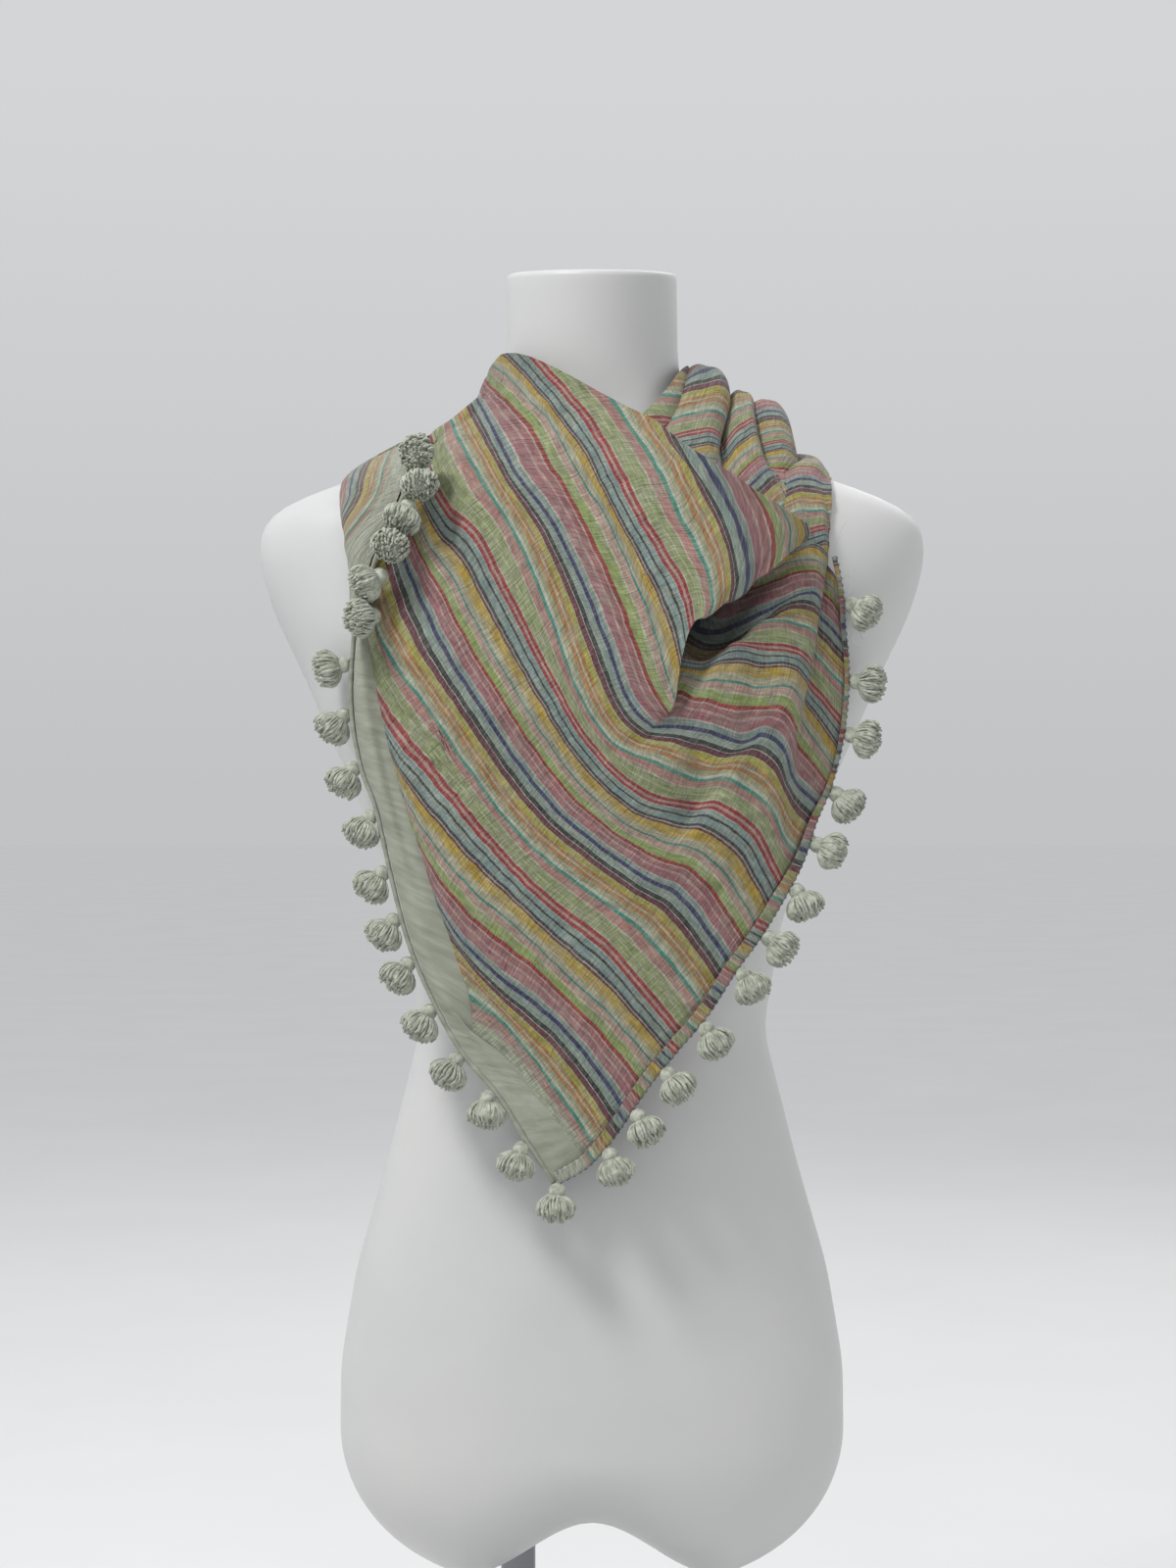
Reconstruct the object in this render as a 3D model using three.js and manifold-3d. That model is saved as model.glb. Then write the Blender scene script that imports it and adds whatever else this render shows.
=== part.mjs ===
// A square striped scarf with a tasselled edge, worn round the neck of a small counter-top dress form.
// Millimetres, +Z up. The form faces -Y, and the middle of the base's underside is the origin.
import * as THREE from "three";
import { mergeVertices } from "three/addons/utils/BufferGeometryUtils.js";
import Module from "manifold-3d";

const wasm = await Module();
wasm.setup();

const wall = 1.5; // every cloth wall
const crestGap = 1.5; // between the front's and the back's cloth, along the top of the left shoulder
const seam = 0.4; // between two stretches of cloth, and between cloth and what it lies on
const base = { radius: 150, thick: 8, edge: 2 };
const pole = { radius: 11, x: -47, y: 4, socket: 60, collarRadius: 19, collarHigh: 14 };
const hem = { wide: 8, thick: 2.4, roll: 1.5 };
const tassel = { head: 4.2, tie: 1, skirt: 17, locks: 5, spread: 52, lock: 3.1 };
const hang = 0.05; // how fast free cloth falls away in front of the form, per mm of drop
const crownSlope = 0.7; // how much of "away from the form" is upward, when a wall's sides are told apart
const lift = 0.6; // how much of a stand-off counts upward, where the form's surface turns level

// The form's sections: height, half width, front and back reach, and how square the section is.
const sections = [
  { z: 1062, half: 54, front: 70, back: 36, square: 2.0 },
  { z: 1010, half: 54.5, front: 63, back: 45, square: 2.0 },
  { z: 980, half: 57, front: 60, back: 52, square: 2.0 },
  { z: 962, half: 68, front: 62, back: 60, square: 2.0 },
  { z: 948, half: 92, front: 66, back: 66, square: 2.1 },
  { z: 936, half: 122, front: 71, back: 70, square: 2.3 },
  { z: 926, half: 152, front: 76, back: 73, square: 2.4 },
  { z: 917, half: 184, front: 81, back: 75, square: 2.5 },
  { z: 906, half: 204, front: 86, back: 77, square: 2.6 },
  { z: 890, half: 211, front: 91, back: 79, square: 2.6 },
  { z: 868, half: 209, front: 97, back: 81, square: 2.6 },
  { z: 840, half: 200, front: 105, back: 83, square: 2.5 },
  { z: 805, half: 183, front: 115, back: 85, square: 2.4 },
  { z: 770, half: 168, front: 121, back: 86, square: 2.4 },
  { z: 735, half: 152, front: 119, back: 84, square: 2.3 },
  { z: 700, half: 138, front: 108, back: 80, square: 2.2 },
  { z: 650, half: 121, front: 92, back: 76, square: 2.1 },
  { z: 580, half: 109, front: 82, back: 78, square: 2.1 },
  { z: 500, half: 129, front: 88, back: 92, square: 2.1 },
  { z: 430, half: 149, front: 93, back: 106, square: 2.2 },
  { z: 370, half: 159, front: 95, back: 112, square: 2.3 },
  { z: 330, half: 159.5, front: 94, back: 110, square: 2.3 },
];
const legs = { from: 330, low: 228, crotch: 273, middle: 88, rings: 7 };
const neckCap = { tilt: 0.14, lip: 2.5 };

const paints = {
  form: new THREE.MeshStandardMaterial({ color: 0xe9ebea, roughness: 0.45, metalness: 0 }),
  steel: new THREE.MeshStandardMaterial({ color: 0xb8bbbd, roughness: 0.2, metalness: 1 }),
  stripes: new THREE.MeshStandardMaterial({ color: 0xa39883, roughness: 0.85, metalness: 0 }),
  reverse: new THREE.MeshStandardMaterial({ color: 0xa8a591, roughness: 0.85, metalness: 0 }),
  sage: new THREE.MeshStandardMaterial({ color: 0xa9b09a, roughness: 0.85, metalness: 0 }),
  yarn: new THREE.MeshStandardMaterial({ color: 0xa7ad9b, roughness: 0.9, metalness: 0 }),
};
const part = new THREE.Group();

function addMesh(name, geometry, material) {
  const mesh = new THREE.Mesh(geometry, material);
  mesh.name = name;
  part.add(mesh);
}

// ---- helpers on sections, lines and grids ----

function sectionAt(z) {
  const top = sections[0];
  const low = sections[sections.length - 1];
  if (z >= top.z) return top;
  if (z <= low.z) return low;
  const i = sections.findIndex((s) => s.z <= z);
  const a = sections[i - 1];
  const b = sections[i];
  const t = (a.z - z) / (a.z - b.z);
  const mix = (key) => a[key] + (b[key] - a[key]) * t;
  return { half: mix("half"), front: mix("front"), back: mix("back"), square: mix("square") };
}

function formDepth(x, z, off, side) {
  const s = sectionAt(z - lift * off);
  const q = Math.abs(x) / (s.half + off);
  if (q >= 1) return 0;
  return side * (s[side < 0 ? "front" : "back"] + off) * (1 - q ** s.square) ** (1 / s.square);
}

function insideForm({ x, y, z }, margin) {
  const s = sectionAt(z - lift * margin);
  const sideways = Math.abs(x) / (s.half + margin);
  const deep = Math.abs(y) / ((y < 0 ? s.front : s.back) + margin);
  return sideways ** s.square + deep ** s.square < 1;
}

// The depth of cloth that lies on the front and falls free below what holds it out.
function frontDrape(x, z, off) {
  let depth = formDepth(x, z, off, -1);
  for (let above = z + 6; above < 1000; above += 6) {
    depth = Math.min(depth, formDepth(x, above, off, -1) + hang * (above - z));
  }
  return depth;
}

function backDrape(x, z, off) {
  let depth = formDepth(x, z, off, 1);
  for (let above = z + 6; above < 1000; above += 6) {
    depth = Math.max(depth, formDepth(x, above, off, 1) - hang * (above - z));
  }
  return depth;
}

// A smooth line through rows of numbers, cut in equal steps by length in its first two columns.
function evenly(points, steps) {
  const at = (k) => points[Math.min(Math.max(k, 0), points.length - 1)];
  const fine = [];
  const perSpan = 12;
  for (let i = 0; i < points.length - 1; i++) {
    for (let k = 0; k < perSpan || (i === points.length - 2 && k === perSpan); k++) {
      const t = k / perSpan;
      const [a, b, c, d] = [at(i - 1), at(i), at(i + 1), at(i + 2)];
      fine.push(b.map((_, j) => catmull(a[j], b[j], c[j], d[j], t)));
    }
  }
  const gone = [0];
  for (let i = 1; i < fine.length; i++) {
    gone.push(gone[i - 1] + Math.hypot(fine[i][0] - fine[i - 1][0], fine[i][1] - fine[i - 1][1]));
  }
  const out = [];
  let i = 1;
  for (let k = 0; k <= steps; k++) {
    const want = (gone[gone.length - 1] * k) / steps;
    while (i < fine.length - 1 && gone[i] < want) i++;
    const span = gone[i] - gone[i - 1] || 1;
    const t = Math.min(Math.max((want - gone[i - 1]) / span, 0), 1);
    out.push(fine[i - 1].map((v, j) => v + (fine[i][j] - v) * t));
  }
  return out;
}

function catmull(a, b, c, d, t) {
  return 0.5 * (2 * b + (c - a) * t + (2 * a - 5 * b + 4 * c - d) * t * t + (3 * b - a - 3 * c + d) * t ** 3);
}

// A grid of points: each line of the table is cut evenly along, and the cuts are joined across.
function loft(lines, along, across) {
  const cut = lines.map((line) => evenly(line, along));
  const columns = [];
  for (let k = 0; k <= along; k++) {
    columns.push(evenly(cut.map((line) => line[k]), across));
  }
  return columns[0].map((_, j) => columns.map((column) => column[j]));
}

function onFront(grid) {
  return grid.map((row) => row.map(([x, z, off]) => [x, frontDrape(x, z, off), z]));
}

function onBack(grid) {
  return grid.map((row) => row.map(([x, z, off]) => [x, backDrape(x, z, off) + crestGap, z]));
}

// The way into the wall at each point of a grid.
function wallWays(points) {
  const rows = points.length;
  const columns = points[0].length;
  const pick = (i, j) => points[Math.min(Math.max(i, 0), rows - 1)][Math.min(Math.max(j, 0), columns - 1)];
  return points.map((row, i) =>
    row.map((_, j) => {
      const down = pick(i + 1, j).clone().sub(pick(i - 1, j));
      const side = pick(i, j + 1).clone().sub(pick(i, j - 1));
      return side.cross(down).normalize();
    })
  );
}

// A closed thin solid on a grid: the grid is its outer face, and the wall is on the form's side of it.
function clothSolid(grid, thick = wall) {
  const rows = grid.length;
  const columns = grid[0].length;
  let points = grid.map((row) => row.map((p) => new THREE.Vector3(...p)));
  let normals = wallWays(points);
  const outward = (p, n) => n.x * p.x + n.y * p.y + n.z * crownSlope * Math.hypot(p.x, p.y);
  const total = points.flat().reduce((sum, p, k) => sum + outward(p, normals.flat()[k]), 0);
  if (total > 0) {
    points = points.reverse();
    normals = wallWays(points);
  }
  const positions = [];
  points.forEach((row) => row.forEach((p) => positions.push(p.x, p.y, p.z)));
  points.forEach((row, i) =>
    row.forEach((p, j) => positions.push(...p.clone().addScaledVector(normals[i][j], thick).toArray()))
  );
  const outer = (i, j) => i * columns + j;
  const inner = (i, j) => rows * columns + i * columns + j;
  const faces = [];
  const quad = (a, b, c, d) => faces.push(a, b, c, a, c, d);
  for (let i = 0; i < rows - 1; i++) {
    for (let j = 0; j < columns - 1; j++) {
      quad(outer(i, j), outer(i + 1, j), outer(i + 1, j + 1), outer(i, j + 1));
      quad(inner(i, j), inner(i, j + 1), inner(i + 1, j + 1), inner(i + 1, j));
    }
  }
  for (let j = 0; j < columns - 1; j++) {
    quad(outer(0, j), outer(0, j + 1), inner(0, j + 1), inner(0, j));
    quad(outer(rows - 1, j), inner(rows - 1, j), inner(rows - 1, j + 1), outer(rows - 1, j + 1));
  }
  for (let i = 0; i < rows - 1; i++) {
    quad(outer(i, 0), inner(i, 0), inner(i + 1, 0), outer(i + 1, 0));
    quad(outer(i, columns - 1), outer(i + 1, columns - 1), inner(i + 1, columns - 1), inner(i, columns - 1));
  }
  return closed(positions, faces);
}

function closed(positions, faces) {
  const geometry = new THREE.BufferGeometry();
  geometry.setAttribute("position", new THREE.Float32BufferAttribute(positions, 3));
  geometry.setIndex(faces);
  geometry.computeVertexNormals();
  return geometry;
}

function toManifold(geometry) {
  const bare = geometry.clone();
  bare.deleteAttribute("normal");
  bare.deleteAttribute("uv");
  const merged = mergeVertices(bare, 1e-4);
  const vertProperties = new Float32Array(merged.attributes.position.array);
  const triVerts = new Uint32Array(merged.index.array);
  return new wasm.Manifold(new wasm.Mesh({ numProp: 3, vertProperties, triVerts }));
}

function fromManifold(solid) {
  const mesh = solid.getMesh();
  return closed(Array.from(mesh.vertProperties), Array.from(mesh.triVerts));
}

// A tube with closed ends along a list of points.
function tube(points, radius, sides) {
  const path = new THREE.CatmullRomCurve3(points.map((p) => new THREE.Vector3(...p)));
  const ring = new THREE.Shape();
  ring.absarc(0, 0, radius, 0, Math.PI * 2);
  const steps = points.length - 1;
  return new THREE.ExtrudeGeometry(ring, { steps, curveSegments: sides / 2, extrudePath: path });
}

// ---- the dress form and its stand ----

function formSolid(around) {
  const rings = [];
  const levels = sections.flatMap((s, i) => {
    const next = sections[i + 1];
    return next && s.z - next.z > 45 ? [s.z, (s.z + next.z) / 2] : [s.z];
  });
  const ringAt = (z, shrink, drop) =>
    Array.from({ length: around }, (_, k) => {
      const angle = (2 * Math.PI * k) / around;
      const s = sectionAt(z);
      const bend = (v) => Math.sign(v) * Math.abs(v) ** (2 / s.square);
      const reach = Math.sin(angle) > 0 ? s.back : s.front;
      const x = s.half * bend(Math.cos(angle)) * shrink;
      const y = reach * bend(Math.sin(angle)) * shrink;
      return [x, y, z + drop(x, y)];
    });
  const capTilt = (x, y) => neckCap.tilt * (y - 20);
  rings.push(ringAt(sections[0].z - neckCap.lip, 0.8, capTilt));
  rings.push(ringAt(sections[0].z, 0.93, capTilt));
  rings.push(ringAt(sections[0].z - neckCap.lip, 1, capTilt));
  levels.slice(1).forEach((z) => rings.push(ringAt(z, 1, () => 0)));
  for (let k = 1; k <= legs.rings; k++) {
    const angle = (Math.PI / 2) * (k / (legs.rings + 1));
    const shrink = Math.cos(angle) ** 0.75;
    rings.push(ringAt(legs.from, shrink, (x) => -Math.sin(angle) * legDrop(x)));
  }
  const positions = rings.flat(2);
  const first = positions.length / 3;
  positions.push(0, -8, sections[0].z - neckCap.lip + capTilt(0, -8));
  positions.push(0, -4, legs.crotch);
  const faces = [];
  for (let i = 0; i < rings.length - 1; i++) {
    for (let k = 0; k < around; k++) {
      const a = i * around + k;
      const b = i * around + ((k + 1) % around);
      faces.push(a, a + around, b + around, a, b + around, b);
    }
  }
  const last = (rings.length - 1) * around;
  for (let k = 0; k < around; k++) {
    const next = (k + 1) % around;
    faces.push(first, k, next);
    faces.push(first + 1, last + next, last + k);
  }
  return closed(positions, faces);
}

// How far each thigh stub reaches below the hips, from the gap in the middle to the outer side.
function legDrop(x) {
  const t = Math.min(Math.abs(x) / legs.middle, 1);
  const rise = t * t * (3 - 2 * t);
  return legs.from - legs.crotch + (legs.crotch - legs.low) * rise;
}

function makeStand() {
  const { radius, thick, edge } = base;
  const plate = [
    [0, 0], [radius - edge, 0], [radius, edge], [radius, thick - edge], [radius - edge, thick], [0, thick],
  ];
  const disc = new THREE.LatheGeometry(plate.map((p) => new THREE.Vector2(...p)), 40);
  disc.rotateX(Math.PI / 2);
  addMesh("stand_base", disc, paints.steel);

  const bottom = thick + seam;
  const flange = new THREE.CylinderGeometry(pole.collarRadius, pole.collarRadius, pole.collarHigh, 24);
  flange.rotateX(Math.PI / 2);
  flange.translate(pole.x, pole.y, bottom + pole.collarHigh / 2);
  const top = poleTop();
  const rod = new THREE.CylinderGeometry(pole.radius, pole.radius, top - bottom, 24);
  rod.rotateX(Math.PI / 2);
  rod.translate(pole.x, pole.y, (top + bottom) / 2);
  addMesh("stand_pole", fromManifold(toManifold(rod).add(toManifold(flange))), paints.steel);
}

function poleTop() {
  return legs.low + pole.socket;
}

function makeForm() {
  const deep = poleTop() + seam;
  const hole = new THREE.CylinderGeometry(pole.radius + seam, pole.radius + seam, deep - 100, 24);
  hole.rotateX(Math.PI / 2);
  hole.translate(pole.x, pole.y, (deep + 100) / 2);
  addMesh("dress_form", fromManifold(toManifold(formSolid(24)).subtract(toManifold(hole))), paints.form);
}

// ---- the scarf's stretches; each line of a table holds [x, z, off], off being how far the cloth
// stands from the form, and a line follows one stripe or one fold ----

const fall = {
  corner: [[-71, 586, 3.5], [-51, 572, 4], [-30, 546, 4.5], [-11, 513, 4.5]],
  firstTeal: [[-79, 613, 4], [-59, 599, 10], [-41, 580, 11], [-18, 546, 11], [3, 518, 10]],
  firstNavy: [[-98, 671, 3.5], [-83, 648, 10], [-61, 625, 12], [-26, 600, 11], [-2, 574, 12], [21, 541, 10]],
  firstRed: [
    [-133, 792, 3.5], [-119, 775, 10], [-84, 733, 12], [-49, 692, 11], [-20, 665, 10], [10, 642, 12],
    [38, 609, 12], [58, 589, 10],
  ],
  secondTeal: [
    [-139, 895, 8], [-137, 872, 8], [-131, 832, 8], [-118, 805, 11], [-96, 776, 12],
    [-73, 744, 11], [-49, 712, 10], [-23, 687, 11], [21, 655, 13], [43, 633, 11], [68, 600, 10],
  ],
  secondNavy: [
    [-119, 912, 9], [-117, 885, 10], [-104, 851, 9], [-84, 811, 12], [-61, 775, 11],
    [-40, 744, 10], [-14, 714, 12], [29, 682, 14], [52, 670, 12], [72, 645, 10], [84, 626, 9],
  ],
  secondRed: [
    [-103, 957, 7], [-100, 930, 8], [-88, 903, 8], [-68, 882, 10], [-46, 840, 11], [-22, 794, 11],
    [-2, 760, 12], [27, 732, 14], [58, 723, 9], [74, 723, 13], [95, 709, 14], [109, 685, 11], [115, 679, 9],
  ],
  thirdTeal: [
    [-90, 967, 8], [-81, 945, 8], [-64, 914, 10], [-42, 876, 11], [-23, 829, 11], [-8, 788, 12],
    [12, 759, 13], [41, 746, 15], [62, 737, 11], [80, 738, 14], [103, 723, 15], [115, 701, 12], [124, 691, 9],
  ],
  thirdNavy: [
    [-73, 982, 9], [-64, 960, 9], [-46, 922, 10], [-27, 896, 12], [-6, 853, 12], [10, 811, 13],
    [22, 782, 13], [34, 768, 12], [50, 769, 10], [68, 767, 14], [88, 760, 12], [102, 765, 15],
    [114, 757, 15], [119, 742, 14],
  ],
};

const cowl = {
  navy: [
    [-73, 983.5, 9], [-64, 961.5, 9], [-46, 923.5, 10], [-27, 897.5, 12], [-6, 854.5, 12],
    [10, 812.5, 13], [22, 783.5, 13], [34, 769.5, 12],
  ],
  red: [
    [-71, 992, 10], [-65, 979, 10], [-49, 960, 11], [-29, 935, 14], [-9, 903, 16], [6, 872, 16],
    [23, 834, 17], [35, 804, 16], [44, 775, 13],
  ],
  doubleRed: [
    [-67, 1000, 11], [-46, 990, 12], [-16, 968, 16], [8, 943, 20], [26, 914, 22], [42, 881, 22],
    [53, 850, 22], [54, 826, 20], [48, 800, 17],
  ],
  fourthTeal: [
    [-66.5, 1003, 11], [-38, 996, 14], [-8, 976, 18], [22, 951, 23], [42, 917, 25], [57, 883, 26],
    [68, 856, 25], [69, 834, 22],
  ],
  fourthNavy: [
    [-66, 1005.5, 11], [-34, 997, 15], [-2, 978, 20], [32, 957, 25], [62, 936, 28], [85, 903, 29],
    [92, 872, 27], [90, 848, 24],
  ],
  neckline: [
    [-65.5, 1008, 11], [-52, 1009, 13], [-28, 996, 17], [2, 979, 22], [36, 957, 27], [68, 935, 30],
    [98, 912, 31], [122, 893, 30], [129, 884, 29], [117, 868, 26],
  ],
};

// From the folded edge, down behind it, along the bottom of the hollow, and up to the far ridge.
const hollow = {
  edge: [
    [129, 878, 24], [115, 864, 23], [102, 853, 22.4], [86, 842, 21], [70, 830, 19], [56, 818, 17.5],
    [49, 798, 13.6],
  ],
  wall: [
    [124, 876, 12], [113, 862, 11], [101, 851, 10], [87, 839, 9], [72, 825, 8], [61, 811, 7], [53, 794, 7],
  ],
  floor: [
    [123, 871, 7], [112, 856, 6], [101, 844, 5], [89, 832, 5], [75, 817, 5], [64, 802, 5], [56, 788, 6],
  ],
  ridge: [
    [124, 866, 8], [115, 850, 10], [105, 837, 12], [92, 825, 13], [78, 810, 13], [67, 796, 12], [58, 784, 10],
  ],
};

const drop = {
  top: [[126, 871, 9], [131, 877, 12], [138, 878, 12], [141, 870, 9]],
  fourthNavy: [[119, 851, 14], [126, 853, 14], [133, 850, 13], [138, 846, 9]],
  fourthTeal: [[102, 832, 16], [110, 832, 15], [120, 831, 13], [130, 828, 13], [134.5, 824, 9]],
  doubleRed: [[85, 816, 17], [92, 818, 15], [104, 817, 13], [116, 816, 14], [126, 813, 14], [131, 807, 9]],
  thinTeal: [[70, 797, 17], [82, 797, 15], [99, 793, 13], [113, 794, 14], [121, 791, 14], [126.5, 783, 9]],
  red: [
    [59, 787, 15], [69, 786, 15], [82, 781, 13], [97, 781, 14], [112, 781, 15], [119, 775, 14], [123, 768, 9],
  ],
  navy: [
    [50, 771.2, 11], [68, 769, 14], [88, 762.4, 12], [102, 767, 15], [114, 759, 15], [119.5, 746.5, 12],
  ],
};

const hemFall = {
  inner: [
    [142, 862, 6], [139, 842, 6], [136, 822, 6], [132, 802, 6], [128, 782, 6], [124, 758, 6], [121, 735, 6],
    [123, 700, 6],
  ],
  middle: [
    [144, 866, 8], [143, 846, 8], [143, 825, 8], [142, 806, 8], [140, 785, 8], [136, 757, 8], [131, 733, 8],
    [128, 702, 6],
  ],
  outer: [
    [145, 872, 10], [149, 852, 9], [151, 829, 8.6], [153, 810, 8.6], [153, 788, 8.6], [149, 757, 8.6],
    [142, 732, 8.6], [133, 706, 7],
  ],
};

const flap = {
  fold: [
    [-148, 935, 7], [-152, 920, 9], [-152, 902, 9], [-149, 882, 9], [-147, 864, 9], [-146, 846, 9],
    [-144, 831, 9],
  ],
  middle: [
    [-132, 946, 9], [-134, 922, 13], [-138, 900, 14], [-139, 882, 14], [-140, 864, 13], [-142, 846, 12],
    [-142, 831, 11],
  ],
  hem: [
    [-110, 958, 11], [-110, 936, 16], [-115, 912, 16], [-125, 887, 16], [-133, 868, 15], [-138, 848, 13],
    [-140, 831, 12],
  ],
};

const back = {
  neck: [[-65.5, 1008, 11], [-52, 1004, 11], [-30, 1000, 10], [0, 998, 10], [24, 999, 10], [38, 1000, 11]],
  nape: [[-71, 992, 11], [-60, 984, 12], [-32, 974, 12], [0, 970, 12], [26, 974, 12], [41, 978, 12]],
  yoke: [[-90, 969, 10], [-76, 955, 9], [-40, 942, 9], [0, 934, 9], [30, 938, 9], [48, 943, 9]],
  blades: [[-122, 948, 8], [-98, 928, 8], [-48, 906, 10], [0, 894, 11], [36, 898, 10], [58, 904, 9]],
  edge: [[-147, 932, 5], [-116, 898, 9], [-56, 868, 11], [0, 852, 12], [40, 856, 11], [68, 866, 9]],
};

// The four pleats over the right shoulder, each by its ridge from behind, over the top and down in
// front, with its width and height there; tip is how far the fold leans over, -90 back to 90 forward.
const pleats = {
  shoulder_pleat_first: {
    roll: 8,
    ridge: [
      { y: 82, z: 922, x: 62, wide: 20, high: 9, tip: -80 },
      { y: 64, z: 968, x: 68, wide: 20, high: 14, tip: -55 },
      { y: 34, z: 993, x: 74, wide: 20, high: 20, tip: -28 },
      { y: 0, z: 1002, x: 77, wide: 21, high: 22, tip: 0 },
      { y: -34, z: 988, x: 77.6, wide: 25.2, high: 18, tip: 32 },
      { y: -60, z: 962, x: 68, wide: 28, high: 12, tip: 52 },
      { y: -80, z: 938, x: 59, wide: 32, high: 8, tip: 62 },
    ],
  },
  shoulder_pleat_second: {
    roll: 6,
    ridge: [
      { y: 84, z: 910, x: 86, wide: 22, high: 9, tip: -80 },
      { y: 66, z: 948, x: 91, wide: 19, high: 13, tip: -55 },
      { y: 34, z: 976, x: 95, wide: 17, high: 18, tip: -28 },
      { y: 0, z: 986, x: 96, wide: 16, high: 20, tip: 0 },
      { y: -34, z: 970, x: 94, wide: 18, high: 19, tip: 32 },
      { y: -62, z: 938, x: 93, wide: 24, high: 15, tip: 55 },
      { y: -82, z: 908, x: 103, wide: 24, high: 10, tip: 68 },
    ],
  },
  shoulder_pleat_third: {
    roll: 12,
    ridge: [
      { y: 84, z: 900, x: 109, wide: 20, high: 9, tip: -80 },
      { y: 66, z: 936, x: 113, wide: 20, high: 13, tip: -55 },
      { y: 34, z: 964, x: 115, wide: 20, high: 18, tip: -28 },
      { y: 0, z: 974, x: 116, wide: 21, high: 20, tip: 0 },
      { y: -28, z: 962, x: 117, wide: 22, high: 19, tip: 28 },
      { y: -52, z: 936, x: 119, wide: 18, high: 15, tip: 50 },
      { y: -68, z: 914, x: 118, wide: 14, high: 10, tip: 62 },
    ],
  },
  shoulder_pleat_outer: {
    roll: 16,
    ridge: [
      { y: 80, z: 892, x: 132, wide: 20, high: 9, tip: -80 },
      { y: 62, z: 922, x: 136, wide: 18, high: 10, tip: -55 },
      { y: 32, z: 940, x: 139, wide: 18, high: 11, tip: -24 },
      { y: 0, z: 946, x: 139, wide: 19, high: 12, tip: 0 },
      { y: -32, z: 938, x: 138, wide: 20, high: 12, tip: 26 },
      { y: -60, z: 916, x: 139, wide: 18, high: 11, tip: 50 },
      { y: -80, z: 892, x: 140, wide: 16, high: 9, tip: 72 },
    ],
  },
};

// The cloth round the right side of the neck, from the throat to the nape: [x, y, z].
const collar = {
  top: [
    [27, -68, 958], [44, -57, 977], [54, -38, 992], [60, -14, 1001], [61.5, 8, 1005], [58, 26, 1006],
    [46, 42, 1004],
  ],
  middle: [
    [29, -73, 952], [47, -61, 968], [56, -41, 982], [61, -14, 990], [62.5, 8, 994], [59, 28, 996],
    [49, 45, 994],
  ],
  low: [
    [31, -77, 945], [48, -64, 956], [57, -43, 968], [61.5, -14, 978], [63, 8, 982], [60, 30, 984],
    [51, 50, 984],
  ],
};

const leftHem = [
  [-141, 828, 8], [-143.5, 798, 8], [-142.5, 771, 8], [-137, 744, 8], [-128, 720, 8], [-118.5, 679, 8],
  [-108.5, 642, 8], [-94.5, 609, 8], [-76.5, 577, 8], [-54.5, 551, 8], [-35.5, 521, 8], [-25, 503, 8],
];
const sageFold = [
  [-139.5, 828, 8], [-135, 812, 8], [-129.5, 779, 8], [-120, 743, 8], [-104, 695, 8], [-92, 655, 8],
  [-79, 616, 8], [-69, 586, 8], [-49, 573, 8.5], [-28, 547, 9], [-9, 514, 9],
];
const rightHem = [
  [-19, 498, 9], [-8, 504, 9], [1, 511, 10], [15, 528, 10.5], [34, 556, 10.5], [51, 577, 10.5],
  [69, 598, 10.5], [86, 624, 10.5], [101, 644, 10.5], [116, 668, 10.5], [127, 689, 12], [135, 712, 11],
  [144, 732, 9], [151, 757, 9], [155, 788, 9], [155, 810, 9], [153, 829, 9], [151, 852, 11], [147, 872, 12.5],
];

// Where each tassel is sewn, in mm along its hem from the corner or the top, which way it hangs
// (degrees from straight down, to +X), and how much nearer its tie starts where the hem turns away.
const tassels = {
  left: [
    { along: 27, turn: -16 }, { along: 62, turn: -16 }, { along: 92, turn: -50 }, { along: 124, turn: -35 },
    { along: 155, turn: -40 }, { along: 183, turn: -40 }, { along: 212, turn: -30 },
    { along: 247, turn: -40 }, { along: 277, turn: -75 }, { along: 310, turn: -50 },
    { along: 342, turn: -80 },
  ],
  right: [
    { along: 33, turn: 14 }, { along: 63, turn: 22 }, { along: 93, turn: 35 },
    { along: 127, turn: 28, sunk: 0.4 }, { along: 167, turn: 44 }, { along: 193, turn: 60 },
    { along: 226, turn: 45, sunk: 0.6 }, { along: 257, turn: 70 }, { along: 290, turn: 80, sunk: 0.6 },
    { along: 326, turn: 85, sunk: 0.6 }, { along: 358, turn: 88, sunk: 0.6 }, { along: 405, turn: 60 },
  ],
  flap: [
    { along: 18, turn: 10 }, { along: 38, turn: 20 }, { along: 57, turn: -20 }, { along: 80, turn: -20 },
    { along: 101, turn: -30 }, { along: 124, turn: -50 },
  ],
};

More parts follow.
